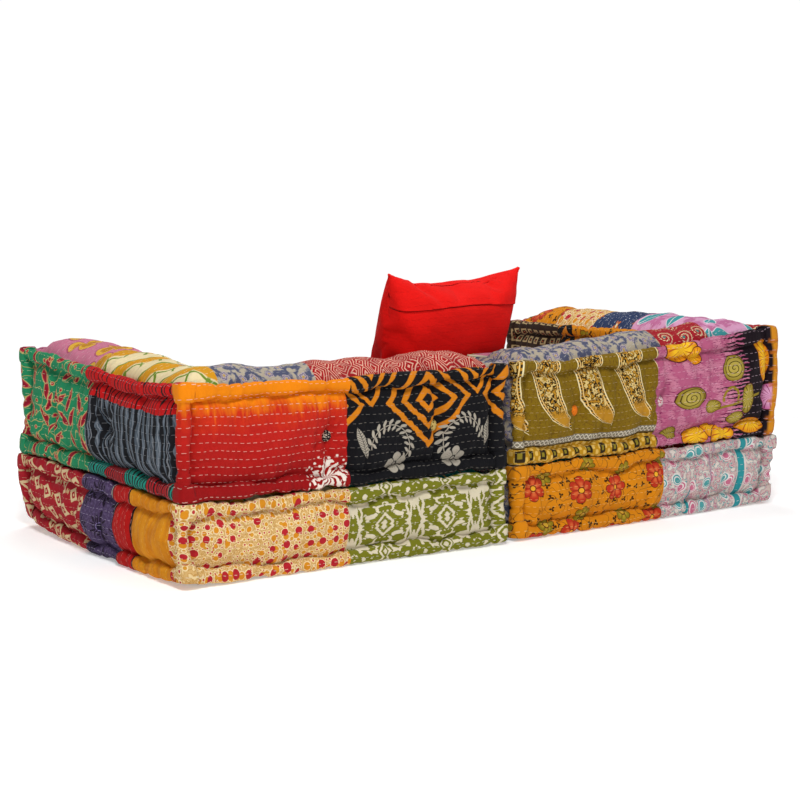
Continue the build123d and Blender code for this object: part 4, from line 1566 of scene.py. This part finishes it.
# The simulation runs alike each time only on a mesh whose parts are always in the same order.
lies = {corner: tuple(round(along, 6) for along in corner.co) for corner in envelope.verts}
ranks = {corner: rank for rank, corner in enumerate(sorted(envelope.verts, key=lies.get))}
rings = []
for spot in envelope.faces:
    ring = [ranks[corner] for corner in spot.verts]
    first = ring.index(min(ring))
    rings.append(ring[first:] + ring[:first])
pillow_mesh = bpy.data.meshes.new("pillow_envelope")
pillow_mesh.from_pydata([lies[corner] for corner in ranks], [], sorted(rings))
envelope.free()
start_places = [corner.co.copy() for corner in pillow_mesh.vertices]
on_back = [spot.center.z > 0 for spot in pillow_mesh.polygons]
pillow_form = placed("pillow_envelope", pillow_mesh)
blown = pillow_form.modifiers.new("Cloth", "CLOTH")
blown.settings.quality = 6
blown.settings.mass = 0.25
blown.settings.tension_stiffness = 24
blown.settings.compression_stiffness = 18
blown.settings.shear_stiffness = 10
blown.settings.bending_stiffness = 0.4
blown.settings.use_pressure = True
blown.settings.uniform_pressure_force = 4
blown.settings.effector_weights.gravity = 0
blown.collision_settings.use_collision = False
for step in range(1, BLOWN_FRAMES + 1):
    bpy.context.scene.frame_set(step)
settled_form = pillow_form.evaluated_get(bpy.context.evaluated_depsgraph_get())
blown_places = [corner.co.copy() for corner in settled_form.data.vertices]
pillow_form.modifiers.clear()
bpy.context.scene.frame_set(1)
for corner, start, end in zip(pillow_mesh.vertices, start_places, blown_places):
    moved = end - start
    if moved.length > MOST_MOVED:
        moved *= MOST_MOVED / moved.length
    corner.co = start + moved
wide = max(corner.co.x for corner in pillow_mesh.vertices)
low = min(corner.co.y for corner in pillow_mesh.vertices)
high = max(corner.co.y for corner in pillow_mesh.vertices)
for corner in pillow_mesh.vertices:
    corner.co.x *= BLOWN_WIDTH * half / wide
    corner.co.y = (corner.co.y - low) * BLOWN_HEIGHT * PILLOW_SIDE / (high - low)
envelope = bmesh.new()
envelope.from_mesh(pillow_mesh)
for _ in range(EASING_ROUNDS):
    inner = [corner for corner in envelope.verts if abs(corner.co.z) > PILLOW_THIN]
    smoothed(envelope, inner, EASING)
cloth_map = envelope.loops.layers.uv.new("cloth")
back_side = envelope.faces.layers.int.new("back")
for spot, on_side in zip(envelope.faces, on_back):
    spot[back_side] = on_side
    for corner in spot.loops:
        place = corner.vert.co
        corner[cloth_map].uv = place.x + half, place.y - lap_bow(place.x)
envelope.to_mesh(pillow_mesh)
envelope.free()

# The seats give a little under the pillow's foot.
level_back = Vector((facing_back.x, facing_back.y, 0)).normalized()
for unit in ("left", "right"):
    for corner in covers[f"{unit}_base_top_cover"].data.vertices:
        offset = corner.co - PILLOW_FOOT
        beside = abs(offset.dot(across)) - half
        under = hump(level_back.dot(offset), PRESS_REACH)
        corner.co.z -= PRESS_DEPTH * under * (1 - eased(beside, *PRESS_SPAN))

plain_red = red_cotton("plain_red_cotton", True)
front_red = red_cotton("plain_red_front_cotton", False)
for node, low, high, red in (
    ("pillow_front", None, None, front_red),
    ("pillow_back_lower", None, LAP_HEIGHT + LAP_WIDTH, plain_red),
    ("pillow_back_upper", LAP_HEIGHT, None, plain_red),
):
    part = bmesh.new()
    part.from_mesh(pillow_mesh)
    for corner in part.verts:
        corner.co.y -= lap_bow(corner.co.x)
    side_layer = part.faces.layers.int["back"]
    for cut in (low, high):
        if cut:
            bmesh.ops.bisect_plane(
                part,
                geom=part.verts[:] + part.edges[:] + part.faces[:],
                dist=CUT_NEAR,
                plane_co=(0, cut, 0),
                plane_no=(0, 1, 0),
            )
    others = []
    for spot in part.faces:
        along = spot.calc_center_median().y
        beyond = (low and along < low) or (high and along > high)
        if beyond or spot[side_layer] == (node == "pillow_front"):
            others.append(spot)
    bmesh.ops.delete(part, geom=others, context="FACES")
    if node == "pillow_back_upper":
        for corner in part.verts:
            past = corner.co.y - LAP_HEIGHT
            corner.co.z += HEM_RISE * (1 - eased(past, *HEM_BAND))
        hem = [
            edge
            for edge in part.edges
            if edge.is_boundary and all(abs(v.co.y - LAP_HEIGHT) < HEM_NEAR for v in edge.verts)
        ]
        turned = bmesh.ops.extrude_edge_only(part, edges=hem)
        folded = [v for v in turned["geom"] if isinstance(v, bmesh.types.BMVert)]
        bmesh.ops.translate(part, verts=folded, vec=(0, HEM_TURN, -HEM_RISE * HEM_SINK))
    for corner in part.verts:
        corner.co.y += lap_bow(corner.co.x)
    bmesh.ops.subdivide_edges(
        part, edges=part.edges, cuts=1, use_grid_fill=True, smooth=ROUNDING
    )
    for corner in part.verts:
        corner.co.x += SLOUCH * corner.co.y
        x, y, z = corner.co
        lean = FOLD_LEAN * x + FOLD_WANDER * noise.noise(corner.co / FOLD_WAVE)
        fold = noise.noise(Vector((x / FOLD_LENGTH, (y + lean) / FOLD_WIDTH, 5)))
        corner.co.z += math.copysign(FOLD_DEPTH * fold * pillow_profile(x, y), z)
    bmesh.ops.transform(part, matrix=pillow_place, verts=part.verts)
    for spot in part.faces:
        spot.smooth = True
    mesh = bpy.data.meshes.new(f"{node}_cover")
    part.to_mesh(mesh)
    part.free()
    mesh.materials.append(red)
    cover = placed(f"{node}_cover", mesh)
    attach(cover, "pillow")
    hidden = [node, "pillow_pad"] if node == "pillow_front" else [node]
    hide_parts(*hidden)
bpy.data.objects.remove(pillow_form)

# Studio: a pale floor and soft light from all round, as in a catalogue picture. The camera stands
# off the left end, a little above the back rests.

FLOOR_RADIUS = 2.0
FLOOR_GLOW = 0.30
WHITE_BELOW, DIM_ABOVE = 0.10, 0.20
WHITE_LIGHT, DIM_LIGHT = 1.02, 0.24
WHITE = (1, 1, 1, 1)
CAMERA_PLACE = (-2.3707, -3.4368, 0.8093)
CAMERA_YAW, CAMERA_PITCH = 0.60, 0.13
CAMERA_LENS, CAMERA_SENSOR = 83.8, 36


def studio_paper():
    """Matt white paper that glows a little, so that it shows paler than its light makes it."""
    material = bpy.data.materials.new("studio_paper")
    material.use_nodes = True
    shader = material.node_tree.nodes["Principled BSDF"]
    shader.inputs["Base Color"].default_value = linear("#F6F6F6")
    shader.inputs["Roughness"].default_value = 0.85
    shader.inputs["Emission Color"].default_value = WHITE
    shader.inputs["Emission Strength"].default_value = FLOOR_GLOW
    return material


floor_mesh = bpy.data.meshes.new("studio_floor")
floor_plan = bmesh.new()
bmesh.ops.create_circle(floor_plan, cap_ends=True, segments=96, radius=FLOOR_RADIUS)
floor_plan.to_mesh(floor_mesh)
floor_plan.free()
floor_mesh.materials.append(studio_paper())
placed("studio_floor", floor_mesh)

world = bpy.data.worlds.new("studio")
bpy.context.scene.world = world
world.use_nodes = True
around = add(world.node_tree, "ShaderNodeTexCoord", {})[0]
height = add(world.node_tree, "ShaderNodeSeparateXYZ", {0: around})[2]
sockets = {0: height, 1: WHITE_BELOW, 2: DIM_ABOVE, 3: WHITE_LIGHT, 4: DIM_LIGHT}
dome = add(world.node_tree, "ShaderNodeMapRange", sockets)[0]
backdrop = world.node_tree.nodes["Background"]
backdrop.inputs["Color"].default_value = WHITE
world.node_tree.links.new(dome, backdrop.inputs["Strength"])
bpy.context.scene.view_settings.view_transform = "Standard"
for name, place, size, power in (
    ("key_light", (-1.5, -2.2, 3.2), 0.9, 96),
    ("fill_light", (2.8, -3.2, 1.8), 2.5, 22),
    ("top_light", (0.6, 1.2, 3.2), 2.0, 58),
):
    lamp_data = bpy.data.lights.new(name, "AREA")
    lamp_data.size = size
    lamp_data.energy = power
    lamp = placed(name, lamp_data)
    lamp.location = place
    lamp.rotation_euler = (-Vector(place)).to_track_quat("-Z", "Y").to_euler()

camera_data = bpy.data.cameras.new("camera")
camera_data.lens = CAMERA_LENS
camera_data.sensor_width = CAMERA_SENSOR
camera = placed("camera", camera_data)
camera.location = CAMERA_PLACE
facing = Vector(
    (
        math.sin(CAMERA_YAW) * math.cos(CAMERA_PITCH),
        math.cos(CAMERA_YAW) * math.cos(CAMERA_PITCH),
        -math.sin(CAMERA_PITCH),
    )
)
camera.rotation_euler = facing.to_track_quat("-Z", "Y").to_euler()
bpy.context.scene.camera = camera
